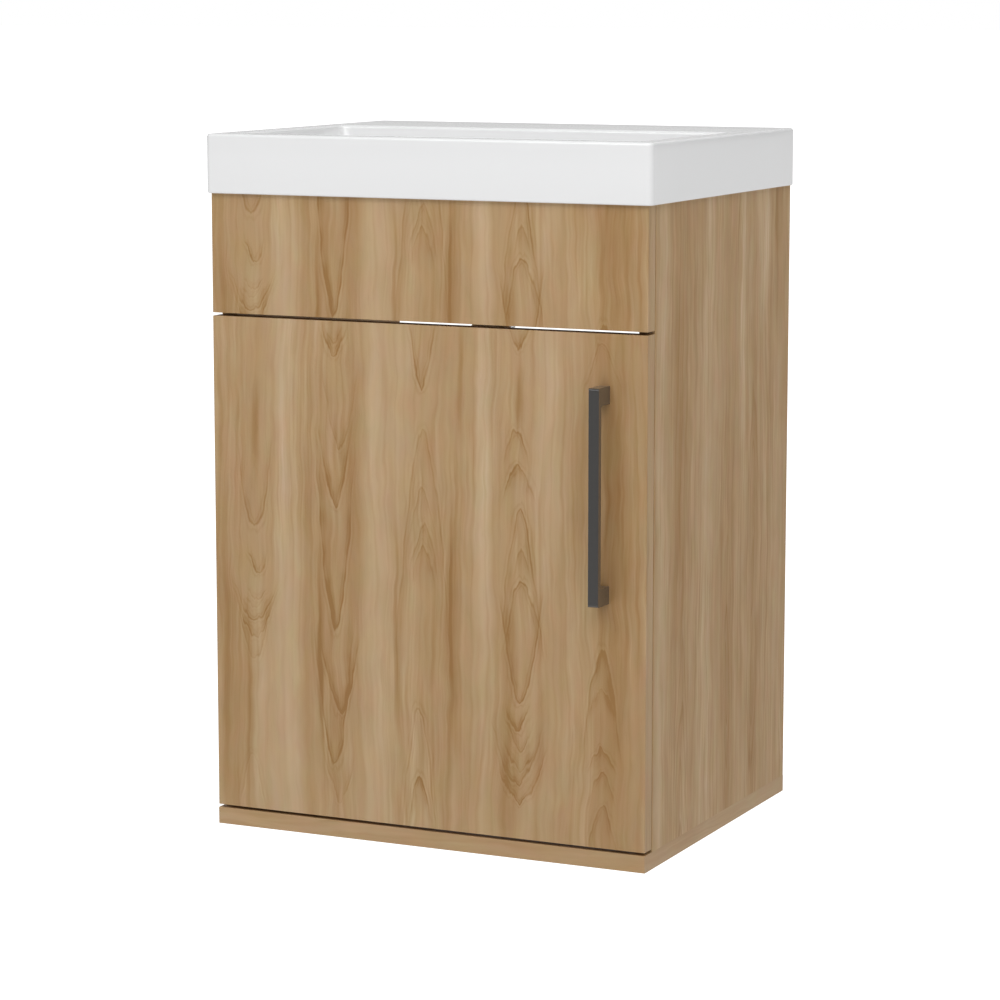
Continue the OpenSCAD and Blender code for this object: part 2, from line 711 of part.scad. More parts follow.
// One side board; s is -1 on the left, where the hinge plates sit, and 1 on the right
module side_panel(s) {
    color(oak) difference() {
        board([min(s * side_x, s * inner_x), carcass_y, side_z], [max(s * side_x, s * inner_x), 0, top_z]);
        for (y = dowel_ys) along_z([s * joint_x, y, side_z - eps], dowel_d + 2 * fit,
            dowel_l - dowel_sink + dowel_spare + eps);
        for (y = base_screw_ys) along_z([s * joint_x, y, side_z - eps], base_screw_d + 2 * fit,
            base_screw_l - board_t + dowel_spare + eps);
        for (z = cam_zs)
            side_hole(s, rail_mid_y, z, cam_bolt_d - 2 * cam_thread_in + 2 * fit, cam_thread + hole_spare);
        for (y = pin_ys) for (k = [-1:1])
            side_hole(s, y, pin_z + k * pin_row, pin_d + 2 * fit, pin_depth + hole_spare);
        for (z = bracket_zs) side_hole(s, back_y + bracket_screw, z, screw_d + 2 * fit, screw_l);
        if (s < 0) for (h = hinge_zs) for (z = plate_screw_zs)
            side_hole(s, plate_y, h + z, screw_d + 2 * fit, screw_l);
    }
}
module side_hole(s, y, z, d, depth) {
    along_x([s > 0 ? inner_x - eps : -inner_x - depth, y, z], d, depth + eps);
}
module side_panel_left() { side_panel(-1); }
module side_panel_right() { side_panel(1); }

// Pockets and bores of the cam fittings at both ends of a rail
module cam_cuts(zs) {
    for (s = [-1, 1]) for (z = zs) {
        along_y([s * (inner_x - cam_reach), -board_t - eps, z], cam_d + 4 * fit, cam_h + pocket_spare + eps);
        along_x([s > 0 ? inner_x - cam_reach : -inner_x - eps, rail_mid_y, z], cam_head_d + 2 * cam_head_play,
            cam_reach + eps);
    }
}

module hanging_rail() {
    color(oak) difference() {
        board([-inner_x, -board_t, rail_z], [inner_x, 0, top_z], "x");
        cam_cuts([cam_zs[0], cam_zs[1]]);
        for (s = [-1, 1])
            along_y([s * wall_hole_spacing / 2, -board_t - eps, 0], wall_hole_d, board_t + 2 * eps);
    }
}

module lower_rail() {
    color(oak) difference() {
        board([-inner_x, -board_t, side_z], [inner_x, 0, side_z + low_rail_h], "x");
        cam_cuts([cam_zs[2]]);
    }
}

module fascia_panel() {
    color(oak) difference() {
        board([-side_x, front_y, fascia_z], [side_x, back_y, top_z]);
        for (s = [-1, 1]) for (z = bracket_zs)
            along_y([s * (inner_x - bracket_screw), back_y - screw_l, z], screw_d + 2 * fit, screw_l + eps);
    }
}

// Corner bracket with a gusset; s is -1 on the left and 1 on the right
module fascia_bracket(s) {
    hole = screw_d + 2 * fit;
    end = bracket_leg - gusset_inset;
    color(plastic) translate([s * inner_x, back_y, bracket_z]) mirror([s > 0 ? 1 : 0, 0, 0]) difference() {
        union() {
            board([0, 0, 0], [bracket_t, bracket_leg, bracket_h], "z", bracket_r);
            board([0, 0, 0], [bracket_leg, bracket_t, bracket_h], "z", bracket_r);
            translate([0, 0, bracket_h / 2 - bracket_t / 2]) linear_extrude(bracket_t)
                polygon([[gusset_inset, gusset_inset], [end, gusset_inset], [end, bracket_t],
                    [bracket_t, end], [gusset_inset, end]]);
        }
        for (z = bracket_zs) {
            along_x([-eps, bracket_screw, z - bracket_z], hole, bracket_t + 2 * eps);
            along_y([bracket_screw, -eps, z - bracket_z], hole, bracket_t + 2 * eps);
        }
    }
}
module fascia_bracket_left() { fascia_bracket(-1); }
module fascia_bracket_right() { fascia_bracket(1); }

module bracket_screws() {
    color(steel) for (s = [-1, 1]) for (z = bracket_zs) {
        translate([s * (inner_x - bracket_t), back_y + bracket_screw, z]) rotate([0, -90 * s, 0])
            screw(screw_d, screw_l, screw_head_d, screw_head_h);
        translate([s * (inner_x - bracket_screw), back_y + bracket_t, z]) rotate([-90, 0, 0])
            screw(screw_d, screw_l, screw_head_d, screw_head_h);
    }
}

module shelf() {
    color(oak) board([-inner_x + shelf_play, shelf_front, shelf_z],
        [inner_x - shelf_play, shelf_front + shelf_d, shelf_z + board_t], "x");
}

module shelf_pins() {
    color(steel) for (s = [-1, 1]) for (y = pin_ys) translate([s * inner_x, y, pin_z])
        mirror([s > 0 ? 1 : 0, 0, 0]) {
            along_x([-pin_depth, 0, 0], pin_d, pin_depth);
            along_x([0, 0, 0], pin_d + 2 * pin_collar_w, pin_collar_t);
            translate([0, -pin_tongue_w / 2, pin_d / 2]) board([0, 0, 0],
                [pin_tongue, pin_tongue_w, pin_tongue_t], "z", pin_tongue_r);
            translate([0, -pin_rib_t / 2, -pin_d / 2])
                cube([pin_tongue / 2, pin_rib_t, pin_d + pin_tongue_t / 4]);
        }
}

module base_dowels() {
    r = dowel_d / 2;
    color(beech) for (s = [-1, 1]) for (y = dowel_ys) translate([s * joint_x, y, side_z - dowel_sink])
        rotate_extrude() polygon([[0, 0], [r - dowel_edge, 0], [r, dowel_edge], [r, dowel_l - dowel_edge],
            [r - dowel_edge, dowel_l], [0, dowel_l]]);
}

module base_screws() {
    r = base_screw_d / 2;
    color(steel) for (s = [-1, 1]) for (y = base_screw_ys) translate([s * joint_x, y, base_z]) difference() {
        rotate_extrude() polygon([[0, 0], [base_head_d / 2, 0], [r, base_head_h],
            [r, base_screw_l - base_tip_l], [r * base_point_share, base_screw_l], [0, base_screw_l]]);
        translate([0, 0, -eps]) cylinder(d = hexagon_d, h = hexagon_h + eps, $fn = 6);
    }
}

module cam_dowels() {
    r = cam_bolt_d / 2;
    head = cam_head_d / 2;
    grip_r = head - cam_grip_in;
    end = cam_reach + cam_past;
    grip = end - cam_grip_l;
    neck = grip - cam_neck_l;
    color(steel) for (s = [-1, 1]) for (z = cam_zs)
        translate([s * inner_x, rail_mid_y, z]) rotate([0, -90 * s, 0]) rotate_extrude() polygon([
            [0, -cam_thread], [r - cam_thread_in, -cam_thread], [r - cam_thread_in, 0], [head, 0],
            [head, cam_collar_t], [r, cam_collar_t], [r, neck - cam_neck_in], [r - cam_neck_in, neck],
            [r - cam_neck_in, grip], [grip_r, grip + cam_grip_slope], [grip_r, end], [0, end]]);
}

module cam_locks() {
    slot_l = cam_d + cam_past + cam_slot_spare;
    color(steel) for (s = [-1, 1]) for (z = cam_zs) translate([s * (inner_x - cam_reach), -board_t, z])
        mirror([s > 0 ? 1 : 0, 0, 0]) difference() {
            along_y([0, 0, 0], cam_d, cam_h);
            along_x([-cam_d, board_t / 2, 0], cam_head_d + 2 * cam_slot_play, slot_l);
            translate([-cam_d, board_t / 2 - cam_head_d / 2 - cam_slot_play, -cam_head_d / 2])
                cube([slot_l, cam_h, cam_head_d]);
            for (a = [45, 135]) rotate([0, a, 0]) translate([-cam_cross_l / 2, -eps, -cam_cross_w / 2])
                cube([cam_cross_l, cam_cross_w + eps, cam_cross_w]);
        }
}

module door_panel() {
    color(oak) difference() {
        board([door_x, front_y, door_z], [side_x, back_y, door_top]);
        for (h = hinge_zs) {
            along_y([cup_x, back_y - cup_h - pocket_spare, h], cup_d + 4 * fit, cup_h + pocket_spare + eps);
            for (k = [-1, 1])
                along_y([cup_x + cup_screw_off, back_y - cup_screw_l, h + k * cup_screw_pitch / 2],
                    screw_d + 2 * fit, cup_screw_l + eps);
        }
        for (z = handle_zs)
            along_y([handle_x, front_y - eps, z], handle_screw_d + 2 * handle_hole_play, front_t + 2 * eps);
    }
}

module handle() {
    bore = handle_screw_d + 2 * fit;
    color(anthracite) difference() {
        intersection() {
            translate([handle_x - handle_w / 2, front_y, handle_top - handle_l]) rotate([90, 0, 90])
                linear_extrude(handle_w) difference() {
                    translate([-handle_out, 0]) rounded(handle_out + handle_r, handle_l, handle_r);
                    translate([0, -eps]) square([handle_r + eps, handle_l + 2 * eps]);
                    translate([grip_t - handle_out, foot_h])
                        rounded(handle_out + handle_r + eps, handle_l - 2 * foot_h, handle_inner_r);
                }
            translate([handle_x - handle_w / 2, front_y - handle_out, handle_top - handle_l])
                linear_extrude(handle_l) rounded(handle_w, handle_out + eps, handle_edge_r);
        }
        for (z = handle_zs) along_y([handle_x, front_y - handle_bore, z], bore, handle_bore + eps);
    }
}

module handle_screws() {
    color(steel) for (z = handle_zs) translate([handle_x, back_y, z]) rotate([-90, 0, 0])
        screw(handle_screw_d, front_t + handle_bore - handle_bore_spare, handle_head_d, handle_head_h);
}

module door_bumpers() {
    t = setoff - bumper_play;
    r = bumper_d / 2;
    color(clear) for (z = [door_z + bumper_drop, door_top - bumper_drop])
        translate([side_x - bumper_inset, back_y, z]) rotate([-90, 0, 0]) rotate_extrude()
            polygon([[0, 0], [r, 0], [r, t * (1 - bumper_round)], [r - t * bumper_round, t], [0, t]]);
}

// Cup in the door, with its flange, its wings and the knuckle between the link's ears
module hinge_cup(z) {
    notch = cup_pivot[0] + eye_r + mouth_gap;
    color(steel) translate([0, 0, z]) difference() {
        union() {
            along_y([cup_x, back_y - cup_h, 0], cup_d, cup_h);
            difference() {
                union() {
                    along_y([cup_x, back_y, 0], cup_d + 2 * cup_flange_w, cup_flange_t);
                    for (k = [-1, 1]) along_y([cup_x + cup_screw_off, back_y, k * cup_screw_pitch / 2],
                        wing_w, cup_flange_t);
                    translate([cup_x + cup_screw_off - wing_w / 2, back_y, -cup_screw_pitch / 2])
                        cube([wing_w, cup_flange_t, cup_screw_pitch]);
                }
                translate([door_x - eps, back_y - eps, -link_w / 2 - mouth_play])
                    cube([notch - door_x + eps, 3 * eps, link_w + 2 * mouth_play]);
            }
        }
        difference() {
            along_y([cup_x, back_y - cup_h + cup_t, 0], cup_d - 2 * cup_t, cup_h + eps);
            translate([0, 0, -knuckle_h / 2]) linear_extrude(knuckle_h)
                bar(cup_pivot, [cup_pivot[0] - web_lean, back_y - cup_h], web_t);
        }
        translate([door_x - eps, back_y - slot_deep, -link_w / 2 - slot_play])
            cube([notch - door_x, slot_deep + cup_flange_t + eps, link_w + 2 * slot_play]);
        along_z([cup_pivot[0], cup_pivot[1], -link_w / 2 - eps], pivot_d + 2 * fit, link_w + 2 * eps);
        for (k = [-1, 1]) along_y([cup_x + cup_screw_off, back_y - eps, k * cup_screw_pitch / 2],
            screw_d + 2 * fit, cup_flange_t + 2 * eps);
    }
}
module hinge_cup_upper() { hinge_cup(hinge_zs[1]); }
module hinge_cup_lower() { hinge_cup(hinge_zs[0]); }

// Hooked link: two ears with eyes, joined by a web that keeps clear of both knuckles
module hinge_link(z) {
    path = [cup_pivot, hook[0], hook[1], arm_pivot];
    color(steel) translate([0, 0, z - link_w / 2]) difference() {
        union() {
            linear_extrude(link_w) for (i = [0:2]) bar(path[i], path[i + 1], link_t);
            for (k = [0, link_w - ear_t]) translate([0, 0, k]) linear_extrude(ear_t)
                for (p = [cup_pivot, arm_pivot]) translate(p) circle(eye_r);
        }
        for (p = [cup_pivot, arm_pivot]) {
            translate([p[0], p[1], ear_t]) cylinder(r = ear_room_r, h = link_w - 2 * ear_t);
            along_z([p[0], p[1], -eps], pivot_d + 2 * pivot_play, link_w + 2 * eps);
        }
    }
}
module hinge_link_upper() { hinge_link(hinge_zs[1]); }
module hinge_link_lower() { hinge_link(hinge_zs[0]); }

// Channel arm over the mounting plate, with the knuckle that carries the link
module hinge_arm(z) {
    color(steel) translate([0, 0, z]) difference() {
        union() {
            difference() {
                board([arm_foot, arm_front, -link_w / 2], [arm_x + arm_t, arm_back, link_w / 2], "z", arm_r);
                translate([-inner_x - eps, arm_front + arm_t, -link_w / 2 + arm_t])
                    cube([arm_x + inner_x + eps, arm_back - arm_front, link_w - 2 * arm_t]);
            }
            translate([0, 0, -knuckle_h / 2]) linear_extrude(knuckle_h) {
                bar(arm_pivot, web_end, web_t);
                bar([arm_x - web_tie_in, web_end[1]], web_end, web_tie_t);
                translate(arm_pivot) circle(eye_r);
            }
        }
        along_z([arm_pivot[0], arm_pivot[1], -link_w / 2 - eps], pivot_d + 2 * fit, link_w + 2 * eps);
        for (y = arm_screw_ys) along_x([arm_x - eps, y, 0], arm_screw_d + 2 * fit, arm_t + 2 * eps);
    }
}
module hinge_arm_upper() { hinge_arm(hinge_zs[1]); }
module hinge_arm_lower() { hinge_arm(hinge_zs[0]); }

// Cross-shaped mounting plate screwed to the side board
module hinge_plate(z) {
    wing = plate_pitch / 2 + screw_head_d / 2 + wing_end;
    color(steel) translate([0, 0, z]) difference() {
        union() {
            board([-inner_x, plate_y - plate_l / 2, -plate_w / 2 + arm_t],
                [-inner_x + plate_h, plate_y + plate_l / 2, plate_w / 2 - arm_t], "x", plate_r);
            board([-inner_x, plate_y - wing_w / 2, -wing],
                [-inner_x + wing_t, plate_y + wing_w / 2, wing], "x", wing_r);
        }
        for (k = plate_screw_zs) along_x([-inner_x - eps, plate_y, k], screw_d + 2 * fit, wing_t + 2 * eps);
        for (y = arm_screw_ys) along_x([-inner_x + plate_floor, y, 0], arm_screw_d + 2 * fit, plate_h);
    }
}
module hinge_plate_upper() { hinge_plate(hinge_zs[1]); }
module hinge_plate_lower() { hinge_plate(hinge_zs[0]); }

module pivot_pins(p) {
    color(steel) for (h = hinge_zs) along_z([p[0], p[1], h - link_w / 2], pivot_d, link_w);
}
module hinge_arm_pins() { pivot_pins(arm_pivot); }
module hinge_cup_pins() { pivot_pins(cup_pivot); }

module cup_screws() {
    color(steel) for (h = hinge_zs) for (k = [-1, 1])
        translate([cup_x + cup_screw_off, back_y + cup_flange_t, h + k * cup_screw_pitch / 2])
            rotate([-90, 0, 0]) screw(screw_d, cup_screw_l, screw_head_d, screw_head_h);
}

module plate_screws() {
    color(steel) for (h = hinge_zs) for (k = plate_screw_zs)
        translate([-inner_x + wing_t, plate_y, h + k]) rotate([0, 90, 0])
            screw(screw_d, screw_l, screw_head_d, screw_head_h);
}

module arm_screws() {
    color(steel) for (h = hinge_zs) for (y = arm_screw_ys) translate([arm_x + arm_t, y, h]) rotate([0, 90, 0])
        screw(arm_screw_d, arm_t + side_play + plate_h - arm_screw_spare, screw_head_d, screw_head_h);
}

base_panel();
side_panel_left();
side_panel_right();
hanging_rail();
lower_rail();
fascia_panel();
fascia_bracket_left();
fascia_bracket_right();
bracket_screws();
shelf();
shelf_pins();
base_dowels();
base_screws();
cam_dowels();
cam_locks();
door_panel();
handle();
handle_screws();
door_bumpers();
hinge_cup_upper();
hinge_cup_lower();
hinge_link_upper();
hinge_link_lower();
hinge_arm_upper();
hinge_arm_lower();
hinge_plate_upper();
hinge_plate_lower();
hinge_arm_pins();
hinge_cup_pins();
cup_screws();
plate_screws();
arm_screws();
basin();
waste_body();
waste_seal();
waste_nut();
waste_plug();
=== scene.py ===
# %% [markdown]
# # A wall-hung vanity unit, dressed in Blender
# The cabinet arrives as a finished frame. Every board, hinge, screw and seal already has its size and place,
# in metres, with X to the right, Y back to the wall and Z up. Blender adds the looks: the wood decor, the
# glaze, the metals, and the few round pieces whose curves should be smoother than the frame's.

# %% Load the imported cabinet
import math

import bmesh
import bpy
from mathutils import Matrix, Vector


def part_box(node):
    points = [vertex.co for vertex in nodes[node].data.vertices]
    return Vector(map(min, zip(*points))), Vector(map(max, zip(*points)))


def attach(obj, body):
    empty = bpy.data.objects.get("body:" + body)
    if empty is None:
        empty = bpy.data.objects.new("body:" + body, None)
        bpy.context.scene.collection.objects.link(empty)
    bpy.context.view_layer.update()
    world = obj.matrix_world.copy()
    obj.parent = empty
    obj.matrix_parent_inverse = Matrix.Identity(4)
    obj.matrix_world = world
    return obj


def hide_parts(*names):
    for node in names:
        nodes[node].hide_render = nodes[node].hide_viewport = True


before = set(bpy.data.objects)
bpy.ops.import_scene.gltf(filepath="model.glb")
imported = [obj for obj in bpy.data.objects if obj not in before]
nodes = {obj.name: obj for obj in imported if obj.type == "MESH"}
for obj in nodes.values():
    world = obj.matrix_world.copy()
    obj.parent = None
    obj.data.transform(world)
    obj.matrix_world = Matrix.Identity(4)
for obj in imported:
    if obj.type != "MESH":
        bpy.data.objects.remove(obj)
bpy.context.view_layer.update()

scene = bpy.context.scene
MM = 0.001


def in_scene(name, data):
    """A new object in the scene."""
    made = bpy.data.objects.new(name, data)
    scene.collection.objects.link(made)
    return made


# %% [markdown]
# ## The camera
# The photograph was taken from the right of the cabinet, a little above it and from far away. A long lens at
# that distance gives the same calm perspective. The place, turn and lens were fitted to the corners of the
# cabinet that the photograph shows, so nothing here has to be guessed by eye. The photographer shifted the lens to
# keep uprights upright. A shift would push the cabinet out of every other view, so this camera tilts instead.

# %% Place the camera
SENSOR_MM, LENS_MM = 36, 121.34
CAMERA_PLACE, CAMERA_TURN, CAMERA_TILT = (1.3604, -3.0753, 0.2310), 25.26, 8.599
camera_data = bpy.data.cameras.new("camera")
camera_data.sensor_width, camera_data.lens = SENSOR_MM, LENS_MM
camera = in_scene("camera", camera_data)
camera.location = CAMERA_PLACE
camera.rotation_euler = (math.radians(90 - CAMERA_TILT), 0, math.radians(CAMERA_TURN))
scene.camera = camera
print("camera", round(camera.location.length, 2), "m from the wall holes")

# %% [markdown]
# ## Helpers for nodes
# A material is a small machine of nodes. The first helpers feed a socket with either a number or another socket,
# and add a node with its settings. Sums come up all the time, so `maths` makes a shorthand for the Math nodes of
# one tree. The rest build groups and materials. They keep the cells below short, so that the idea of each finish
# stays readable.

# %% Node helpers
OFFSET_WAY = (1.0, 0.37, 0.11)


def feed(tree, socket, value):
    """Link a socket to another one, or give it a plain value."""
    if isinstance(value, bpy.types.NodeSocket):
        tree.links.new(value, socket)
    else:
        socket.default_value = value


def add(tree, kind, inputs=None, **settings):
    """A new node with its settings and inputs."""
    made = tree.nodes.new(kind)
    for key, value in settings.items():
        setattr(made, key, value)
    for key, value in (inputs or {}).items():
        feed(tree, made.inputs[key], value)
    return made


def maths(tree):
    """A shorthand for one tree: it takes an operation and its terms, and gives a Math node's output."""
    def calc(operation, *terms, clamp=False):
        made = add(tree, "ShaderNodeMath", dict(enumerate(terms)), operation=operation, use_clamp=clamp)
        return made.outputs[0]
    return calc


def smooth_range(tree, value, low, high, start, end):
    """A value eased from one range into another."""
    made = add(tree, "ShaderNodeMapRange", {"Value": value, "From Min": low, "From Max": high,
                                            "To Min": start, "To Max": end},
               interpolation_type="SMOOTHSTEP")
    return made.outputs["Result"]


def vector_of(tree, operation, *terms, **inputs):
    """One Vector Math node; its output."""
    return add(tree, "ShaderNodeVectorMath", {**dict(enumerate(terms)), **inputs}, operation=operation).outputs[0]


def split(tree, vector):
    """The parts X, Y and Z of a vector."""
    return add(tree, "ShaderNodeSeparateXYZ", {"Vector": vector}).outputs


def vector_from(tree, **parts):
    """A vector put together from its parts."""
    return add(tree, "ShaderNodeCombineXYZ", parts).outputs[0]


def stretched_noise(tree, place, across, along, detail, offset, output="Fac"):
    """Noise whose spots are drawn out: across and along are spots per metre. Its Color holds three noises."""
    shifted = add(tree, "ShaderNodeMapping", {"Vector": place, "Scale": (across, along, 1.0),
                                              "Location": [offset * part for part in OFFSET_WAY]})
    made = add(tree, "ShaderNodeTexNoise", {"Vector": shifted.outputs[0], "Scale": 1.0, "Detail": detail,
                                            "Roughness": 0.5})
    return made.outputs[output]


def noise_along(tree, value):
    """A noise with one dimension."""
    made = add(tree, "ShaderNodeTexNoise", {"W": value, "Scale": 1.0, "Detail": 0.0}, noise_dimensions="1D")
    return made.outputs["Fac"]


def new_group(name, vectors_in=(), numbers_in=(), vectors_out=(), numbers_out=()):
    """An empty shader node group; its tree, its inputs, the inputs of its output node and its shorthand for sums."""
    tree = bpy.data.node_groups.new(name, "ShaderNodeTree")
    for way, kind, labels in (("INPUT", "Vector", vectors_in), ("INPUT", "Float", numbers_in),
                              ("OUTPUT", "Vector", vectors_out), ("OUTPUT", "Float", numbers_out)):
        for label in labels:
            tree.interface.new_socket(label, in_out=way, socket_type="NodeSocket" + kind)
    return tree, tree.nodes.new("NodeGroupInput").outputs, tree.nodes.new("NodeGroupOutput").inputs, maths(tree)


def use_group(tree, group, **inputs):
    """Place a group in a material; its outputs."""
    made = add(tree, "ShaderNodeGroup", node_tree=group)
    for key, value in inputs.items():
        feed(tree, made.inputs[key.replace("_", " ")], value)
    return made.outputs


def new_material(name, roughness, **settings):
    """A material with a Principled shader; its tree, the shader and a point of the object."""
    material = bpy.data.materials.new(name)
    material.use_nodes = True
    tree = material.node_tree
    look = tree.nodes["Principled BSDF"]
    look.inputs["Roughness"].default_value = roughness
    for key, value in settings.items():
        look.inputs[key.replace("_", " ")].default_value = value
    return material, tree, look, add(tree, "ShaderNodeTexCoord").outputs["Object"]


print("helpers ready")

# %% [markdown]
# ## Floor and light
# A product photograph on white needs light from everywhere, with one large soft box that is a bit stronger, so
# that the front is brighter than the side. A lit paper backdrop stands behind, to the left. It shows in the
# basin's deck, because glaze seen at a low angle mirrors what lies beyond it. The floor is a plain pale plane. It
# lies well below the cabinet, as the unit hangs on a wall, and it glows a little, as paper does under lamps.

# %% Make the floor
FLOOR_Z, FLOOR_HALF, PAPER_LIGHT = -2.3, 200.0, 0.4
WHITE = (1, 1, 1, 1)
paper, tree, look, _ = new_material("studio_paper", 1.0, Base_Color=(0.9, 0.9, 0.9, 1), Specular_IOR_Level=0.0,
                                    Emission_Color=WHITE)
seen = add(tree, "ShaderNodeLightPath").outputs["Is Camera Ray"]
glow = add(tree, "ShaderNodeMapRange", {"Value": seen, "To Min": PAPER_LIGHT, "To Max": 1.0})
feed(tree, look.inputs["Emission Strength"], glow.outputs["Result"])

floor_mesh = bpy.data.meshes.new("studio_floor")
floor_mesh.from_pydata([(x * FLOOR_HALF, y * FLOOR_HALF, FLOOR_Z) for x, y in ((-1, -1), (1, -1), (1, 1), (-1, 1))],
                       [], [(0, 1, 2, 3)])
floor_mesh.materials.append(paper)
in_scene("studio_floor", floor_mesh)
print("floor at", FLOOR_Z, "m")

# %% Light the sky
SKY_FILL, BACKDROP = 0.325, 0.6
BACKDROP_WAY, EDGE_START, EDGE_END = (-0.42, 0.9, 0.15), 0.7, 0.9
studio = bpy.data.worlds.new("studio")
scene.world = studio
studio.use_nodes = True
sky = studio.node_tree
sky.nodes.clear()
way = add(sky, "ShaderNodeVectorMath", {0: add(sky, "ShaderNodeTexCoord").outputs["Generated"], 1: BACKDROP_WAY},
          operation="DOT_PRODUCT")
rise = add(sky, "ShaderNodeMapRange", {"Value": way.outputs["Value"], "From Min": EDGE_START, "From Max": EDGE_END,
                                       "To Min": SKY_FILL, "To Max": BACKDROP})
sky_light = add(sky, "ShaderNodeBackground", {"Color": WHITE, "Strength": rise.outputs["Result"]})
sky_seen = add(sky, "ShaderNodeBackground", {"Color": WHITE, "Strength": 1.0})
sky_mix = add(sky, "ShaderNodeMixShader", {0: add(sky, "ShaderNodeLightPath").outputs["Is Camera Ray"],
                                           1: sky_light.outputs[0], 2: sky_seen.outputs[0]})
add(sky, "ShaderNodeOutputWorld", {"Surface": sky_mix.outputs[0]})
scene.view_settings.view_transform = "Standard"
print("sky fill", SKY_FILL, "and backdrop", BACKDROP)

# %% Place the soft boxes
LAMP_AIM = Vector((0, -0.18, -0.25))


def soft_box(name, turn, rise, distance, width, height, power):
    """A wide lamp that looks at the cabinet from a turn to the right and a rise above it, in degrees."""
    lamp = bpy.data.lights.new(name, "AREA")
    lamp.shape = "RECTANGLE"
    lamp.size, lamp.size_y = width, height
    lamp.energy = power
    a, e = math.radians(turn), math.radians(rise)
    away = Vector((math.sin(a) * math.cos(e), -math.cos(a) * math.cos(e), math.sin(e)))
    box = in_scene(name, lamp)
    box.location = LAMP_AIM + away * distance
    box.rotation_euler = away.to_track_quat("Z", "Y").to_euler()


soft_box("key_box", turn=18, rise=50, distance=3.4, width=5.2, height=1.8, power=88)
soft_box("top_box", turn=72, rise=80, distance=2.6, width=1.6, height=1.6, power=10.5)
print("two soft boxes")

# %% [markdown]
# ## Which way the grain runs
# Melamine board is printed with a decor, and the maker cuts each board so that the print runs along it. The
# upright boards have upright grain. The base, shelf and rails have it from side to side. Two small groups turn
# a point of the object into a place on the decor: how far across the grain, and how far along it.

# %% Upright grain
upright_grain, given, result, calc = new_group(
    "upright_grain", vectors_in=["Point"], numbers_in=["Sideways", "Upwards"], vectors_out=["Place"])
xyz = split(upright_grain, given["Point"])
across = calc("ADD", calc("ADD", xyz["X"], xyz["Y"]), given["Sideways"])
along = calc("ADD", xyz["Z"], given["Upwards"])
feed(upright_grain, result["Place"], vector_from(upright_grain, X=across, Y=along))
print("grain group", upright_grain.name)

# %% Lying grain
FACES_END = 0.7
lying_grain, given, result, calc = new_group("lying_grain", vectors_in=["Point", "Facing"], vectors_out=["Place"])
xyz, facing = split(lying_grain, given["Point"]), split(lying_grain, given["Facing"])
at_end = calc("GREATER_THAN", calc("ABSOLUTE", facing["X"]), FACES_END)
y_at_end = calc("MULTIPLY", xyz["Y"], at_end)
along = calc("ADD", xyz["X"], y_at_end)
across = calc("ADD", xyz["Z"], calc("SUBTRACT", xyz["Y"], y_at_end))
feed(lying_grain, result["Place"], vector_from(lying_grain, X=across, Y=along))
print("grain group", lying_grain.name)

# %% [markdown]
# ## The flat-sawn figure
# A flat-sawn board shows nested arches, where the saw meets the growth rings at a low angle. Each arch is a
# line of equal distance from the heart of the log, and the heart dips away above and below the middle of the
# figure. So the group measures that distance and draws a thin dark line, with a light one beside it, every time
# it passes a ring. No two rings are alike, so a noise along the distance moves them and makes some fainter.

# %% Ring lines
LATE_TURN, LIGHT_LINE = 1.5, 0.45


def crests(tree, angle, sharpness):
    """A wave between 0 and 1 whose crests are narrow."""
    calc = maths(tree)
    return calc("POWER", calc("MULTIPLY_ADD", calc("COSINE", angle), 0.5, 0.5), sharpness)


def ring_line(tree, turns, sharpness=6.0):
    """A dark line at every whole turn, with a fainter light line beside it."""
    calc = maths(tree)
    dark_line = crests(tree, calc("MULTIPLY", turns, math.tau), sharpness)
    light_line = crests(tree, calc("MULTIPLY_ADD", turns, math.tau, -LATE_TURN), sharpness)
    return calc("MULTIPLY_ADD", light_line, -LIGHT_LINE, dark_line)


print("ring lines with a light line", LIGHT_LINE, "as strong")

# %% Growth-ring figure
SEED_ACROSS, SEED_ALONG, FULL_STRENGTH = 70.0, 40.0, 0.26
MOVE_SCALE, MOVE_TURNS, WEIGHT_SCALE = 0.8, 1.3, 0.9
ring_figure, given, result, calc = new_group(
    "ring_figure", vectors_in=["Place"], numbers_out=["Lines"],
    numbers_in=["Across", "Along", "Pitch", "Rise", "Fall", "Width", "Reach Up", "Reach Down", "Pointed", "Strength"])
xy = split(ring_figure, given["Place"])
sideways = calc("ABSOLUTE", calc("SUBTRACT", xy["X"], given["Across"]))
upwards = calc("SUBTRACT", xy["Y"], given["Along"])
above = calc("MULTIPLY", calc("MAXIMUM", upwards, 0.0), given["Rise"])
below = calc("MULTIPLY", calc("MINIMUM", upwards, 0.0), given["Fall"])
depth = calc("SUBTRACT", above, below)
powers = calc("ADD", calc("POWER", sideways, given["Pointed"]), calc("POWER", depth, given["Pointed"]))
distance = calc("POWER", powers, calc("DIVIDE", 1.0, given["Pointed"]))
turns = calc("DIVIDE", distance, given["Pitch"])
ring_seed = calc("MULTIPLY_ADD", given["Across"], SEED_ACROSS, calc("MULTIPLY", given["Along"], SEED_ALONG))
uneven = noise_along(ring_figure, calc("MULTIPLY_ADD", turns, MOVE_SCALE, ring_seed))
moved = calc("MULTIPLY_ADD", uneven, MOVE_TURNS, turns)
line = ring_line(ring_figure, moved)
weight = noise_along(ring_figure, calc("MULTIPLY_ADD", moved, WEIGHT_SCALE, ring_seed))
weight = smooth_range(ring_figure, weight, 0.3, 0.62, 0.25, 1)
fade = smooth_range(ring_figure, calc("DIVIDE", sideways, given["Width"]), 0.4, 1, 1, 0)
fade_up = smooth_range(ring_figure, calc("DIVIDE", upwards, given["Reach Up"]), 0.7, 1, 1, 0)
fade_down = smooth_range(ring_figure, calc("DIVIDE", upwards, given["Reach Down"]), -1, -0.8, 0, 1)
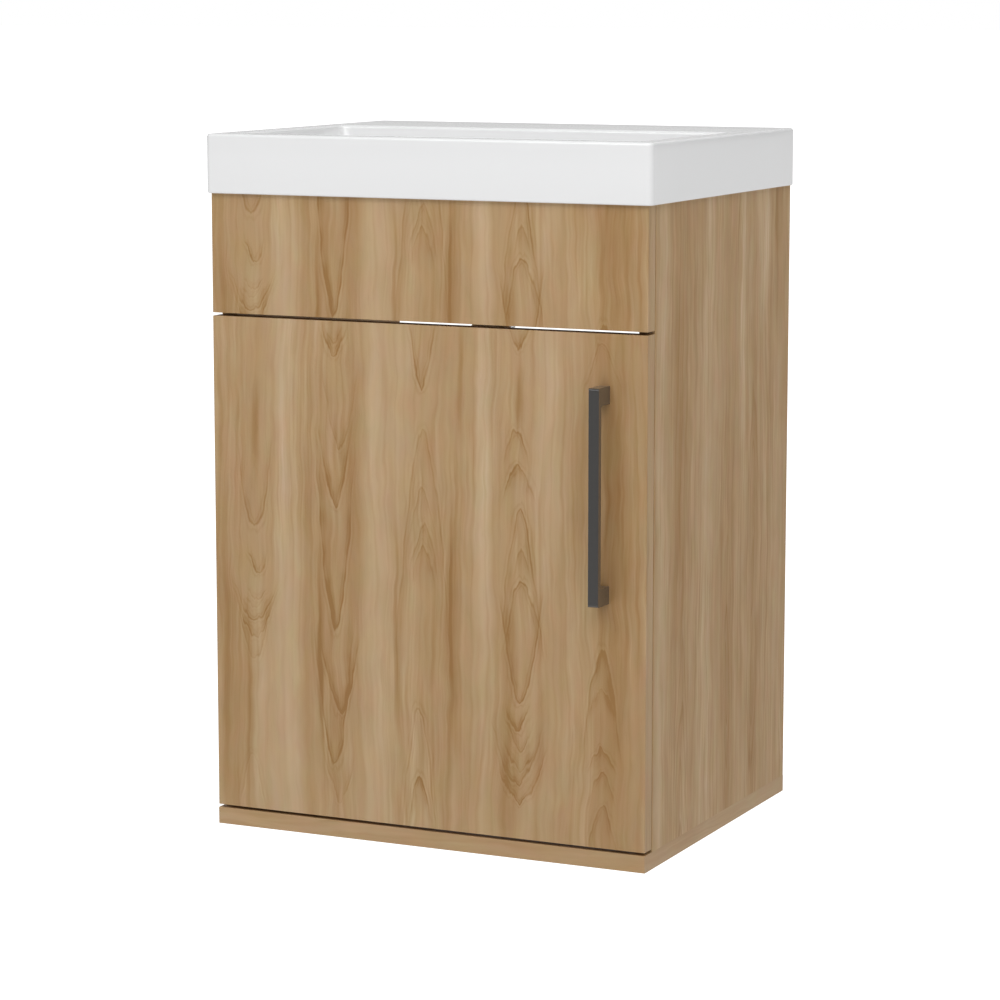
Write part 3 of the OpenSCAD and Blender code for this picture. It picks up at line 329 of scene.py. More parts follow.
for factor in (fade_up, fade_down, weight, given["Strength"], FULL_STRENGTH, line):
    fade = calc("MULTIPLY", fade, factor)
feed(ring_figure, result["Lines"], fade)
print("ring group", ring_figure.name)

# %% [markdown]
# ## Single arches
# On the front, each arch is drawn by itself, because no two of them are alike. An arch is a curve with its tip
# up or down. A dark line with a fainter one on each side follows it and fades along the legs, and the wood inside
# may be darker. The distance from the curve is corrected for its slope, so that steep legs stay as thin as the tip.

# %% One arch
ARCH_BOW, LINE_REACH, LINE_STEP, SHADE_REACH = 1.6, 5 * MM, 5.2 * MM, 9 * MM
LINE_SHARPNESS, LINE_SHARE, FLATTEST = 1.5, 0.3, 0.4
arch, given, result, calc = new_group(
    "arch", vectors_in=["Place"], numbers_out=["Shade"],
    numbers_in=["Across", "Tip", "Half Width", "Length", "Strength", "Filling"])
xy = split(arch, given["Place"])
way, length = calc("SIGN", given["Length"]), calc("ABSOLUTE", given["Length"])
off_middle = calc("ABSOLUTE", calc("SUBTRACT", xy["X"], given["Across"]))
side = calc("DIVIDE", off_middle, given["Half Width"])
depth = calc("MULTIPLY", calc("SUBTRACT", given["Tip"], xy["Y"]), way)
drop = calc("SUBTRACT", depth, calc("MULTIPLY", calc("POWER", side, ARCH_BOW), length))
steep = calc("MULTIPLY", calc("POWER", side, ARCH_BOW - 1), calc("DIVIDE", length, given["Half Width"]))
away = calc("DIVIDE", drop, calc("SQRT", calc("MULTIPLY_ADD", steep, steep, FLATTEST)))
near = calc("EXPONENT", calc("MULTIPLY", calc("MULTIPLY", away, away), -1 / LINE_REACH ** 2))
line = calc("MULTIPLY", crests(arch, calc("MULTIPLY", away, math.tau / LINE_STEP), LINE_SHARPNESS), near)
inside = calc("EXPONENT", calc("MULTIPLY", calc("MAXIMUM", away, 0.0), -1 / SHADE_REACH))
inside = calc("MULTIPLY", inside, smooth_range(arch, away, -2 * MM, 1 * MM, 0, 1))
shade = calc("MULTIPLY_ADD", inside, given["Filling"], calc("MULTIPLY", line, LINE_SHARE))
fade = smooth_range(arch, calc("DIVIDE", depth, length), 0.3, 1.5, 1, 0)
feed(arch, result["Shade"], calc("MULTIPLY", calc("MULTIPLY", shade, fade), given["Strength"]))
print("arch group", arch.name)

# %% [markdown]
# ## Soft streaks
# Between the arches run broad soft streaks, lighter and darker than the rest. One streak is a bell of shade that
# is long and narrow, with a flat middle, so the cube of the distance is used.

# %% Soft streak
FLATNESS = 3.0
soft_streak, given, result, calc = new_group(
    "soft_streak", vectors_in=["Place"], numbers_in=["Across", "Along", "Width", "Length", "Strength"],
    numbers_out=["Shade"])
xy = split(soft_streak, given["Place"])
sideways = calc("DIVIDE", calc("SUBTRACT", xy["X"], given["Across"]), given["Width"])
upwards = calc("DIVIDE", calc("SUBTRACT", xy["Y"], given["Along"]), given["Length"])
spread = calc("ADD", *(calc("POWER", calc("ABSOLUTE", part), FLATNESS) for part in (sideways, upwards)))
bell = calc("EXPONENT", calc("MULTIPLY", spread, -1.0))
feed(soft_streak, result["Shade"], calc("MULTIPLY", bell, given["Strength"]))
print("streak group", soft_streak.name)

# %% [markdown]
# ## The printed wood
# Behind the figure, wood is made of bands: broad soft ones a few centimetres wide, finer streaks, and pores as
# short dark hairs. Noise that is drawn out along the grain gives all three. Thin grain lines follow a wave across
# the board. The place is bent a little first, so that no line runs dead straight. Real wood isn't one brown
# either: a noise with three channels makes some spots a little greener and others a little pinker.

# %% Bend the place
STILL_NOISES = {
    # spots per metre across and along, detail, offset
    "slow bend": (7, 4.5, 1.0, 4.0), "quick bend": (45, 26, 1.0, 9.0), "lift": (70, 12, 1.0, 2.0),
    "ragged": (170, 60, 2.0, 11.0), "patches": (75, 30, 1.0, 17.0), "crisp": (26, 6, 1.0, 31.0),
    "with lines": (28, 3.5, 1.0, 13.0),
}
wood_tone, given, result, calc = new_group(
    "wood_tone", vectors_in=["Place"], numbers_in=["Seed"], vectors_out=["Bent Place", "Figure Place", "Hue"],
    numbers_out=["Patches", "Bands", "Blotches", "Streaks", "Fine", "Pores", "Lines"])
spot = vector_of(wood_tone, "ADD", given["Place"], vector_from(wood_tone, Z=given["Seed"]))
still = {name: stretched_noise(wood_tone, spot, *sizes) for name, sizes in STILL_NOISES.items()}


def swing(name, size):
    """A noise turned into a move of that size in millimetres, half of it to each side."""
    return calc("MULTIPLY_ADD", still[name], size * MM, -size * MM / 2)


def moved_spot(sideways, upwards):
    """The spot, moved."""
    return vector_of(wood_tone, "ADD", spot, vector_from(wood_tone, X=sideways, Y=upwards))


bent = moved_spot(calc("ADD", swing("slow bend", 22), swing("quick bend", 7)), swing("lift", 50))
swayed = moved_spot(calc("ADD", swing("slow bend", 8), swing("quick bend", 6)),
                    calc("ADD", swing("lift", 12), swing("ragged", 16)))
feed(wood_tone, result["Bent Place"], bent)
feed(wood_tone, result["Figure Place"], swayed)
print("tone group", wood_tone.name)

# %% Bands, streaks and pores
BENT_NOISES = {
    # spots per metre across and along, detail, offset
    "Bands": (24, 1.4, 1.5, 1.7), "Streaks": (95, 2.6, 2.0, 3.1), "Fine": (300, 9, 2.5, 5.3),
    "Pores": (1500, 40, 2.0, 7.9), "Blotches": (55, 20, 2.0, 21.0), "Hue": (70, 26, 3.0, 27.0),
}
HUE_CHANGE, LINE_PITCH, LINE_WAVE, THIN_LINES = 0.15, 13 * MM, 5.0, 9.0
tones = {name: stretched_noise(wood_tone, bent, *sizes, output="Color" if name == "Hue" else "Fac")
         for name, sizes in BENT_NOISES.items()}
middled = {name: calc("SUBTRACT", tones[name], 0.5) for name in ("Bands", "Blotches", "Streaks", "Fine")}
crisp = smooth_range(wood_tone, still["crisp"], 0.35, 0.65, 0.4, 1.6)
turns = calc("ADD", calc("MULTIPLY", split(wood_tone, bent)["X"], 1 / LINE_PITCH),
             calc("MULTIPLY", tones["Bands"], LINE_WAVE))
with_lines = smooth_range(wood_tone, still["with lines"], 0.42, 0.62, 0, 1)
parts = {
    **middled, "Fine": calc("MULTIPLY", middled["Fine"], crisp),
    "Pores": smooth_range(wood_tone, tones["Pores"], 0.58, 0.75, 0, 1),
    "Patches": smooth_range(wood_tone, still["patches"], 0.3, 0.65, 0.45, 1.15),
    "Lines": calc("MULTIPLY", ring_line(wood_tone, turns, THIN_LINES), with_lines),
    "Hue": vector_of(wood_tone, "MULTIPLY_ADD", tones["Hue"], (HUE_CHANGE,) * 3, (1 - HUE_CHANGE / 2,) * 3),
}
for label, part in parts.items():
    feed(wood_tone, result[label], part)
print("tone parts", sorted(parts))

# %% [markdown]
# ## Board materials
# All boards share the tone, but each has its own cut of the decor. The door and the panel above it show the
# arches of the photograph, at their places on the board. An arch is a row of numbers in millimetres: where its
# tip lies, how wide and how long its legs are. The side has whole figures of nested rings, in such rows as well.
# The columns of a table are the numbers of its group, in the same order. Two narrow streaks of the front are painted
# shade beside the handle.

# %% Arches and streaks of the front
DOOR_ARCHES = [
    # across, tip, half width, length (tip down if negative), strength, filling
    # the column at the left edge
    (-177, -268, 17, -70, 0.8, 0.2), (-175, -308, 9, -16, 1.0, 0.2), (-176, -335, 9, -9, 0.7, 0.2),
    (-178, -344, 9, -9, 0.5, 0.2), (-177, -357, 21, -30, 0.9, 0.2), (-177, -371, 21, -34, 0.7, 0.3),
    (-178, -392, 18, -50, 0.4, 0.4), (-181, -480, 14, 60, 0.6, -0.2),
    # the left column
    (-92, -90, 9, -14, 0.5, 0.2), (-92, -101, 12, -24, 1.0, 0.3), (-86, -185, 16, -60, 0.4, 0.4),
    (-91, -240, 15, -60, 0.8, 0.5), (-91, -358, 18, -140, 1.0, 0.4), (-87, -436, 17, -55, 0.9, 0.5),
    (-93, -487, 18, -110, 1.0, 0.3), (-89, -522, 14, -40, 0.4, 0.4),
    # the middle column
    (-3, -124, 13, -60, 1.0, 0.2), (-2, -162, 27, 190, 0.6, 0.2), (-3, -218, 14, 50, 0.4, 0.3),
    (-2, -250, 13, 40, 0.6, 0.3), (-2, -270, 11, 30, 0.5, 0.4), (-7, -424, 18, 110, 1.0, -0.1),
    (-6, -487, 11, 35, 1.0, 0.4),
    # the right column
    (93, -84, 10, -20, 0.8, 0.4), (92, -157, 11, 26, 0.8, 0.3), (95, -190, 15, 26, 1.0, 0.3),
    (96, -232, 18, 100, 1.0, 0.2), (98, -268, 8, 25, 0.4, 0.5), (98, -296, 19, 60, 0.9, 0.2),
    (96, -410, 20, -90, 1.0, 0.3), (93, -435, 10, -16, 1.0, 0.4), (96, -455, 11, -22, 0.7, 0.3),
    (96, -472, 15, -22, 0.6, 0.3), (93, -486, 22, -45, 0.8, 0.3), (96, -504, 22, -40, 1.0, 0.3),
    # the column at the right edge
    (176, -78, 18, 45, 0.5, 0.1), (176, -351, 17, 80, 0.7, 0.5), (176, -390, 13, 22, 0.5, 0.4),
    (176, -443, 12, 18, 0.9, 0.4), (177, -466, 12, 25, 0.5, 0.4), (178, -498, 15, 45, 0.6, 0.3),
]
DOOR_STREAKS_AND_SHADE = [
    # across, along, width, length, strength; a positive streak is darker
    (-205, -390, 10, 150, 0.14), (-187, -270, 11, 200, 0.12), (-170, -440, 11, 120, -0.16),
    (-143, -250, 13, 700, -0.20), (-116, -290, 10, 180, 0.10), (-98, -360, 9, 130, 0.13),
    (-73, -230, 8, 140, 0.16), (-47, -250, 13, 700, -0.18), (-20, -130, 12, 130, -0.11),
    (4, -380, 14, 150, 0.14), (28, -350, 6, 110, 0.28), (59, -180, 9, 190, -0.26),
    (86, -450, 9, 120, 0.20), (122, -170, 14, 130, -0.20), (154, -190, 8, 90, 0.18),
    # the narrow dark streaks at 184 and 191 across, right of the handle, are painted shade where the handle's shadow
    # falls
    (188, -250, 20, 700, 0.19), (184, -240, 6, 110, 0.16), (212, -250, 8, 700, 0.08),
    (-209, -330, 4, 200, 0.15), (-184, -445, 4, 80, 0.24), (-176, -172, 4, 40, 0.28),
    (-107, -365, 2.5, 80, 0.30), (-30, -355, 2, 80, 0.30), (27, -335, 2, 85, 0.34),
    (35, -120, 2.5, 45, 0.24), (94, -130, 4, 24, 0.28), (191, -190, 4, 55, 0.20),
]
print(len(DOOR_ARCHES), "arches and", len(DOOR_STREAKS_AND_SHADE), "streaks on the front")

# %% Figures and streaks of the side
SIDE_FIGURES = [
    # across, along, pitch, rise, fall, width, reach up, reach down, pointed, strength
    (-267, -640, 5.0, 0.10, 0.2, 24, 300, 20, 1.5, 0.7),
    (-158, -420, 6.0, 0.10, 0.1, 22, 170, 120, 1.5, 0.5),
    (-92, -330, 5.0, 0.09, 0.09, 18, 240, 240, 1.5, 0.5),
]
SIDE_STREAKS = [
    (-320, -300, 11, 600, -0.14), (-274, -200, 22, 220, 0.12), (-214, -300, 16, 600, -0.12),
    (-156, -400, 17, 220, 0.14), (-123, 0, 8, 230, -0.20), (-92, -300, 8, 200, 0.08),
    (-84, -480, 10, 110, 0.15), (-66, 40, 15, 110, -0.20), (-30, 20, 9, 90, 0.14),
    (-30, -300, 14, 180, -0.07),
]
print(len(SIDE_FIGURES), "figures and", len(SIDE_STREAKS), "streaks on the side")

# %% Build a board material
WOOD_MIDDLE, WOOD_SPREAD = (174.5, 143.5, 105.0), (27, 34, 41.5)
FRONT_LIGHT, STOPS = 0.955, 5
SATIN, SATIN_CHANGE, PRINT_RELIEF = 0.46, 0.12, (0.12, 0.3 * MM)
TONE_PARTS = {"Blotches": -0.2, "Lines": 0.08, "Streaks": -0.33, "Fine": -0.42, "Pores": 0.08}
IN_MM = ("Across", "Along", "Tip", "Pitch", "Width", "Half Width", "Length", "Reach Up", "Reach Down")


def srgb(red, green, blue, light=1.0):
    """A colour as a screen shows it, 0..255, as the surface colour that shows so under that much light."""
    out = []
    for c in (red, green, blue):
        c /= 255
        c = c / 12.92 if c <= 0.04045 else ((c + 0.055) / 1.055) ** 2.4
        out.append(min(1.0, c / light))
    return (*out, 1.0)


def bump(tree, look, height, strength, distance):
    """A relief on the shader's normal."""
    relief = add(tree, "ShaderNodeBump", {"Strength": strength, "Distance": distance, "Height": height})
    feed(tree, look.inputs["Normal"], relief.outputs["Normal"])


def printed_colours(tree, level):
    """The wood's colours in even steps from dark to light, for a level of 0 to 1."""
    ramp = add(tree, "ShaderNodeValToRGB", {"Fac": level})
    while len(ramp.color_ramp.elements) < STOPS:
        ramp.color_ramp.elements.new(0.5)
    for k, stop in enumerate(ramp.color_ramp.elements):
        stop.position = k / (STOPS - 1)
        stop.color = srgb(*(m + (2 * stop.position - 1) * w for m, w in zip(WOOD_MIDDLE, WOOD_SPREAD)), FRONT_LIGHT)
    return ramp.outputs["Color"]


def drawn(tree, group, place, row):
    """A row of a table, drawn by its group: the row holds the group's numbers in their order."""
    made = add(tree, "ShaderNodeGroup", {"Place": place}, node_tree=group)
    for socket, value in zip(made.inputs[1:], row):
        socket.default_value = value * MM if socket.name in IN_MM else value
    return made.outputs[0]


def board_material(name, lying=False, seed=0.0, sideways=0.0, upwards=0.0, arches=(), figures=(), streaks=(),
                   bands=0.14, contrast=1.0, shine=0.3):
    """Printed board with a satin face. Arches, figures and streaks are given in millimetres on the board."""
    material, tree, look, point = new_material(name, SATIN, Specular_IOR_Level=shine)
    calc = maths(tree)
    if lying:
        facing = add(tree, "ShaderNodeTexCoord").outputs["Normal"]
        place = use_group(tree, lying_grain, Point=point, Facing=facing)["Place"]
    else:
        place = use_group(tree, upright_grain, Point=point, Sideways=sideways, Upwards=upwards)["Place"]
    wood = use_group(tree, wood_tone, Place=place, Seed=seed)
    dark = calc("MULTIPLY", wood["Bands"], -bands)
    for row in streaks:
        dark = calc("ADD", dark, drawn(tree, soft_streak, wood["Figure Place"], row))
    for row in arches:
        dark = calc("MULTIPLY_ADD", drawn(tree, arch, wood["Figure Place"], row), wood["Patches"], dark)
    for row in figures:
        dark = calc("ADD", dark, drawn(tree, ring_figure, wood["Bent Place"], row))
    for part, amount in TONE_PARTS.items():
        dark = calc("MULTIPLY_ADD", wood[part], amount, dark)
    colours = printed_colours(tree, calc("MULTIPLY_ADD", dark, -contrast, 0.5, clamp=True))
    feed(tree, look.inputs["Base Color"], vector_of(tree, "MULTIPLY", colours, wood["Hue"]))
    feed(tree, look.inputs["Roughness"], calc("MULTIPLY_ADD", wood["Fine"], SATIN_CHANGE, SATIN))
    bump(tree, look, calc("SUBTRACT", wood["Fine"], wood["Pores"]), *PRINT_RELIEF)
    return material


print("wood from", [round(m - w) for m, w in zip(WOOD_MIDDLE, WOOD_SPREAD)], "to",
      [round(m + w) for m, w in zip(WOOD_MIDDLE, WOOD_SPREAD)])

# %% Make the boards
FRONT_Y, SIDE_X, FASCIA_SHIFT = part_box("door_panel")[0].y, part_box("side_panel_right")[1].x, -292 * MM
front = dict(sideways=-FRONT_Y, arches=DOOR_ARCHES, streaks=DOOR_STREAKS_AND_SHADE)
door_board = board_material("oak_door", **front, contrast=0.98)
fascia_board = board_material("oak_fascia", **front, upwards=FASCIA_SHIFT, contrast=0.92)
side_board = board_material("oak_side", sideways=-SIDE_X, seed=3.7, figures=SIDE_FIGURES, streaks=SIDE_STREAKS,
                            contrast=1.4, shine=0.12)
lying_board = board_material("oak_lying", lying=True, seed=8.2, bands=0.3, contrast=0.8)
print("boards", [m.name for m in (door_board, fascia_board, side_board, lying_board)])

# %% [markdown]
# ## Small surface effects
# Two effects turn up in many finishes. Glaze, rubber and moulded plastic are never quite even, so a mottle moves
# their colour and gloss a little. Metal that was rolled, brushed or plated has fine scratches in one direction.
# Each is a group, placed in a material with its own scale. A small function then feeds such a pattern to the
# colour, the gloss and the relief of a finish.

# %% Mottle and scratches
FINER = 14.0
mottle, given, result, calc = new_group("mottle", vectors_in=["Point"], numbers_in=["Scale"],
                                        numbers_out=["Value", "Fine"])
for label, finer, detail in (("Value", 1.0, 3.0), ("Fine", FINER, 2.0)):
    cloud = add(mottle, "ShaderNodeTexNoise", {"Vector": given["Point"], "Detail": detail,
                                               "Scale": calc("MULTIPLY", given["Scale"], finer)})
    feed(mottle, result[label], calc("SUBTRACT", cloud.outputs["Fac"], 0.5))

scratches, given, result, calc = new_group("scratches", vectors_in=["Point", "Stretch"], numbers_out=["Value"])
pulled = vector_of(scratches, "MULTIPLY", given["Point"], given["Stretch"])
lines = add(scratches, "ShaderNodeTexNoise", {"Vector": pulled, "Scale": 1.0, "Detail": 3.0})
feed(scratches, result["Value"], calc("SUBTRACT", lines.outputs["Fac"], 0.5))


def patterned(tree, look, colour, tint, gloss=None, relief=None):
    """Colour, gloss and relief from patterns, each given with its amounts."""
    calc = maths(tree)
    value, amount = tint
    feed(tree, look.inputs["Base Color"],
         vector_of(tree, "SCALE", colour[:3], Scale=calc("MULTIPLY_ADD", value, amount, 1.0)))
    if gloss:
        value, amount = gloss
        roughness = look.inputs["Roughness"]
        feed(tree, roughness, calc("MULTIPLY_ADD", value, amount, roughness.default_value))
    if relief:
        bump(tree, look, *relief)


print("groups", mottle.name, scratches.name)

# %% [markdown]
# ## The white basin
# The basin is cast in one piece and glazed. Glaze is a clear glossy coat over a white body. Its face is almost
# flat, but light lines on its edges wander a little, which a very shallow bump gives.

# %% Glaze
glaze, tree, look, point = new_material("white_glaze", 0.25, Coat_Weight=0.8, Coat_Roughness=0.06,
                                        Specular_IOR_Level=0.5)
uneven = use_group(tree, mottle, Point=point, Scale=14.0)["Value"]
patterned(tree, look, (0.84, 0.842, 0.845), tint=(uneven, 0.012), gloss=(uneven, 0.03),
          relief=(uneven, 0.01, 0.3 * MM))
print("glaze", glaze.name)

# %% [markdown]
# ## Metals, rubber and plastic
# The handle is steel under a dark satin powder coat, which shows a faint grain of tiny bumps. The hinges and
# screws are plated: bright, but brushed by the tools that pressed them. The waste is polished chrome. The
# pieces that nobody looks at are plain rubber, moulded plastic and beech.

# %% Handle coat
# The warm sheen tint is a painted reflection: it stands in for the wood door mirrored in the handle's sides.
handle_coat, tree, look, point = new_material("anthracite_coat", 0.42, Metallic=0.3, Specular_IOR_Level=0.5,
                                              Coat_Weight=1.0, Coat_Roughness=0.25, Sheen_Weight=0.25,
                                              Sheen_Tint=(1, 0.75, 0.5, 1))
powder = use_group(tree, mottle, Point=point, Scale=160.0)
brushed = use_group(tree, scratches, Point=point, Stretch=(2600.0, 2600.0, 40.0))["Value"]
patterned(tree, look, srgb(37, 36, 35), tint=(powder["Value"], 0.25), gloss=(brushed, 0.25),
          relief=(powder["Fine"], 0.08, 0.2 * MM))
print("coat", handle_coat.name)


# %% Plated metals
def metal(name, colour, roughness, stretch, change):
    """Bare or plated metal with fine scratches."""
    material, tree, look, point = new_material(name, roughness, Metallic=1.0)
    fine = use_group(tree, scratches, Point=point, Stretch=stretch)["Value"]
    cloudy = use_group(tree, mottle, Point=point, Scale=45.0)["Value"]
    patterned(tree, look, colour, tint=(cloudy, 0.12), gloss=(fine, change), relief=(fine, 0.05, 0.1 * MM))
    return material


plated_steel = metal("plated_steel", (0.62, 0.61, 0.59), 0.3, (900.0, 900.0, 4200.0), 0.3)
polished_chrome = metal("polished_chrome", (0.80, 0.81, 0.82), 0.08, (500.0, 500.0, 2400.0), 0.06)
print("metals", plated_steel.name, polished_chrome.name)


# %% Rubber, plastic and beech
def moulded(name, colour, roughness, scale):
    """A moulded material with an uneven face."""
    material, tree, look, point = new_material(name, roughness)
    uneven = use_group(tree, mottle, Point=point, Scale=scale)
    patterned(tree, look, colour, tint=(uneven["Value"], 0.15), gloss=(uneven["Fine"], 0.2),
              relief=(uneven["Fine"], 0.1, 0.2 * MM))
    return material


seal_rubber = moulded("black_rubber", (0.03, 0.03, 0.031), 0.7, 90.0)
bracket_plastic = moulded("bracket_plastic", (0.66, 0.63, 0.56), 0.45, 60.0)
bumper_plastic = moulded("bumper_plastic", (0.72, 0.75, 0.75), 0.3, 80.0)
beech, tree, look, point = new_material("beech", 0.55)
fibres = use_group(tree, scratches, Point=point, Stretch=(900.0, 900.0, 90.0))["Value"]
patterned(tree, look, (0.55, 0.39, 0.23), tint=(fibres, 0.5))
print("finishes", [m.name for m in (seal_rubber, bracket_plastic, bumper_plastic, beech)])

# %% [markdown]
# ## Giving the frame its finishes
# A node of the frame keeps its mesh. Only its material changes, by what the piece is made of.

# %% Assign the finishes
FINISHES = {
    door_board: ["door_panel"], fascia_board: ["fascia_panel"], side_board: ["side_panel_left", "side_panel_right"],
    lying_board: ["base_panel", "shelf", "hanging_rail", "lower_rail"], handle_coat: ["handle"],
    bumper_plastic: ["door_bumpers"], bracket_plastic: ["fascia_bracket_left", "fascia_bracket_right"],
    beech: ["base_dowels"], seal_rubber: ["waste_seal"], polished_chrome: ["waste_nut", "waste_body", "waste_plug"],
    glaze: ["basin"],
}
finish_of = {name: finish for finish, names in FINISHES.items() for name in names}
for name, node in nodes.items():
    node.data.materials.clear()
    node.data.materials.append(finish_of.get(name, plated_steel))
print(len(finish_of), "nodes with a finish of their own, the rest plated steel")

# %% [markdown]
# ## Helpers for meshes
# A round piece is a profile turned about an axis. A cast piece such as the basin is a stack of closed rings
# with the same number of points, joined ring to ring. Both come down to one loop that sews rings together. Two
# more helpers read back what a modifier made of a mesh, and put a finished mesh in the place of a node.

# %% Sewing rings and turning profiles
WELD, THINNEST_FACE = 1e-6, 1e-7


def sew(name, rings):
    """A closed mesh through rings of points; the last ring joins the first."""
    count = len(rings[0])
    shape = bmesh.new()
    rows = [[shape.verts.new(p) for p in ring] for ring in rings]
    for low, high in zip(rows, rows[1:] + rows[:1]):
        for i in range(count):
            j = (i + 1) % count
            shape.faces.new((low[i], low[j], high[j], high[i]))
    bmesh.ops.remove_doubles(shape, verts=shape.verts, dist=WELD)
    bmesh.ops.dissolve_degenerate(shape, edges=shape.edges, dist=THINNEST_FACE)
    bmesh.ops.recalc_face_normals(shape, faces=shape.faces)
    mesh = bpy.data.meshes.new(name)
    shape.to_mesh(mesh)
    shape.free()
    return mesh


def smoothed(mesh, degrees=35):
    """Smooth shading, with edges kept sharp where faces meet at more than the angle."""
    mesh.shade_smooth()
    mesh.set_sharp_from_angle(angle=math.radians(degrees))
    return mesh


def turned(name, profile, steps=96):
    """A profile of radius and height turned about the Z axis; points at radius 0 close it."""
    angles = [math.tau * i / steps for i in range(steps)]
    return sew(name, [[(r * math.cos(a), r * math.sin(a), z) for a in angles] for r, z in profile])


print("sewing helpers ready")

# %% Plain meshes and pieces


def plain_mesh(source, name):
    """The evaluated shape of an object as a plain mesh; the object goes away."""
    graph = bpy.context.evaluated_depsgraph_get()
    mesh = bpy.data.meshes.new_from_object(source.evaluated_get(graph), depsgraph=graph)
    mesh.name = name
    bpy.data.objects.remove(source)
    return mesh


def as_piece(name, mesh, body, node, material):
    """Put a mesh in the scene as a piece that rides on a body and takes the place of a node."""
    mesh.materials.clear()
    mesh.materials.append(material)
    piece = in_scene(name, mesh)
    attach(piece, body)
    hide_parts(node)


print("mesh helpers ready")

# %% [markdown]
# ## The basin
# The bowl, the rim, the outer block and the hollow underside are one skin. Walk over it once: up inside the
# skirt's foot, over the outer edge, across the deck, over the lip, down the leaning wall, across the falling
# floor into the drain, and back under the bowl. Every stop on that walk is a ring, so the whole casting is one
# sewn mesh with soft edges, and no two surfaces have to be joined by hand.

# %% Basin sizes
BLOCK_H, RIM, DECK_DEEP, BOWL_DEEP, DRAIN_BACK = 55 * MM, 21 * MM, 125 * MM, 105 * MM, 24 * MM
block_low, block_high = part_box("basin")
TOP_Z, FOOT_Z = block_high.z, block_high.z - BLOCK_H
HALF_X, HALF_Y = block_high.x, (block_high.y - block_low.y) / 2
MID_Y = (block_high.y + block_low.y) / 2
SKIRT, DECK = 12 * MM, 13 * MM
CORNER_R, TOP_R, FOOT_R = 6 * MM, 3 * MM, 1.5 * MM
BOWL_HALF_X, BOWL_FRONT, BOWL_BACK = HALF_X - RIM, block_low.y + RIM, -DECK_DEEP
BOWL_MID, BOWL_HALF_Y = (BOWL_FRONT + BOWL_BACK) / 2, (BOWL_BACK - BOWL_FRONT) / 2
BOWL_CORNER, CORNER_GROWTH, LIP_R = 10 * MM, 0.55, 3.5 * MM
LEAN, FLOOR_R, FALL = 16 * MM, 22 * MM, 7 * MM
BOWL_Z, WALL = TOP_Z - BOWL_DEEP, 8 * MM
DRAIN_Y, SEAT_R, DRAIN_R = BOWL_MID + DRAIN_BACK, 34 * MM, 22.45 * MM
CORNER_STEPS, EDGE_STEPS, SIDE_STEPS, WALL_RINGS, UNDER_RINGS = 10, 8, 6, 5, 3
QUARTERS = ((1, 1), (-1, 1), (-1, -1), (1, -1))
print("basin", [round(x / MM, 1) for x in (2 * HALF_X, 2 * HALF_Y, TOP_Z - FOOT_Z)], "mm")

# %% Rings of the basin


def rounded_ring(half_x, half_y, mid_y, radius, z):
    """A rectangle with round corners and a few points along each side."""
    def corner_point(quarter, step):
        sx, sy = QUARTERS[quarter]
        a = math.radians(90 * quarter + 90 * step / CORNER_STEPS)
        return (sx * (half_x - radius) + radius * math.cos(a),
                mid_y + sy * (half_y - radius) + radius * math.sin(a), z)

    points = []
    for quarter in range(4):
        points += [corner_point(quarter, step) for step in range(CORNER_STEPS + 1)]
        start, end = points[-1], corner_point((quarter + 1) % 4, 0)
        points += [tuple(s + (e - s) * k / SIDE_STEPS for s, e in zip(start, end)) for k in range(1, SIDE_STEPS)]
    return points


def bowl_ring(inset, z, grow=0.0):
    """A ring of the bowl, set in from its rim, or grown out by the wall."""
    return rounded_ring(BOWL_HALF_X - inset + grow, BOWL_HALF_Y - inset + grow, BOWL_MID,
                        BOWL_CORNER + inset * CORNER_GROWTH + grow, z)


def block_ring(inset, z):
    """A ring of the outer block."""
    return rounded_ring(HALF_X - inset, HALF_Y - inset, MID_Y, CORNER_R - inset, z)


def drain_ring(radius, z):
    """A circle round the drain, with its points spread as on the bowl's floor."""
    wide, deep = BOWL_HALF_X - LEAN - FLOOR_R, BOWL_HALF_Y - LEAN - FLOOR_R
    angles = [math.atan2((y - BOWL_MID) / deep, x / wide) for x, y, _ in bowl_ring(LEAN + FLOOR_R, 0)]
    return [(radius * math.cos(a), DRAIN_Y + radius * math.sin(a), z) for a in angles]


def cavity_ring(z):
    """A ring of the hollow inside the skirt."""
    return rounded_ring(HALF_X - SKIRT, HALF_Y - SKIRT, MID_Y, CORNER_R, z)


def floor_ring(a, drop=0.0, grow=0.0):
    """A ring on the round edge between the bowl's wall and its floor, at an angle of that edge."""
    return bowl_ring(LEAN + FLOOR_R * (1 - math.sin(a)), BOWL_Z + FALL + FLOOR_R * (1 - math.cos(a)) - drop, grow)


def between(first, last, count):
    """Rings in equal steps between two rings, without the ends."""
    return [[tuple(a + (b - a) * k / (count + 1) for a, b in zip(p, q)) for p, q in zip(first, last)]
            for k in range(1, count + 1)]


print("points in a ring", len(block_ring(0, TOP_Z)))

# %% Sew the basin
quarter_turn = [math.radians(90 * i / EDGE_STEPS) for i in range(EDGE_STEPS + 1)]
turn_back = quarter_turn[::-1]
outside = [block_ring(FOOT_R * (1 - math.sin(a)), FOOT_Z + FOOT_R * (1 - math.cos(a))) for a in quarter_turn]
over = [block_ring(TOP_R * (1 - math.cos(a)), TOP_Z - TOP_R * (1 - math.sin(a))) for a in quarter_turn]
lip = [bowl_ring(-LIP_R * (1 - math.cos(a)), TOP_Z - LIP_R * (1 - math.sin(a))) for a in turn_back]
foot = [floor_ring(a) for a in turn_back]
seat, hole_top = drain_ring(SEAT_R, BOWL_Z), drain_ring(DRAIN_R, BOWL_Z)
hole_foot, under_seat = drain_ring(DRAIN_R, BOWL_Z - WALL), drain_ring(SEAT_R + WALL, BOWL_Z - WALL)
shell = [floor_ring(a, WALL * math.cos(a), WALL * math.sin(a)) for a in quarter_turn]
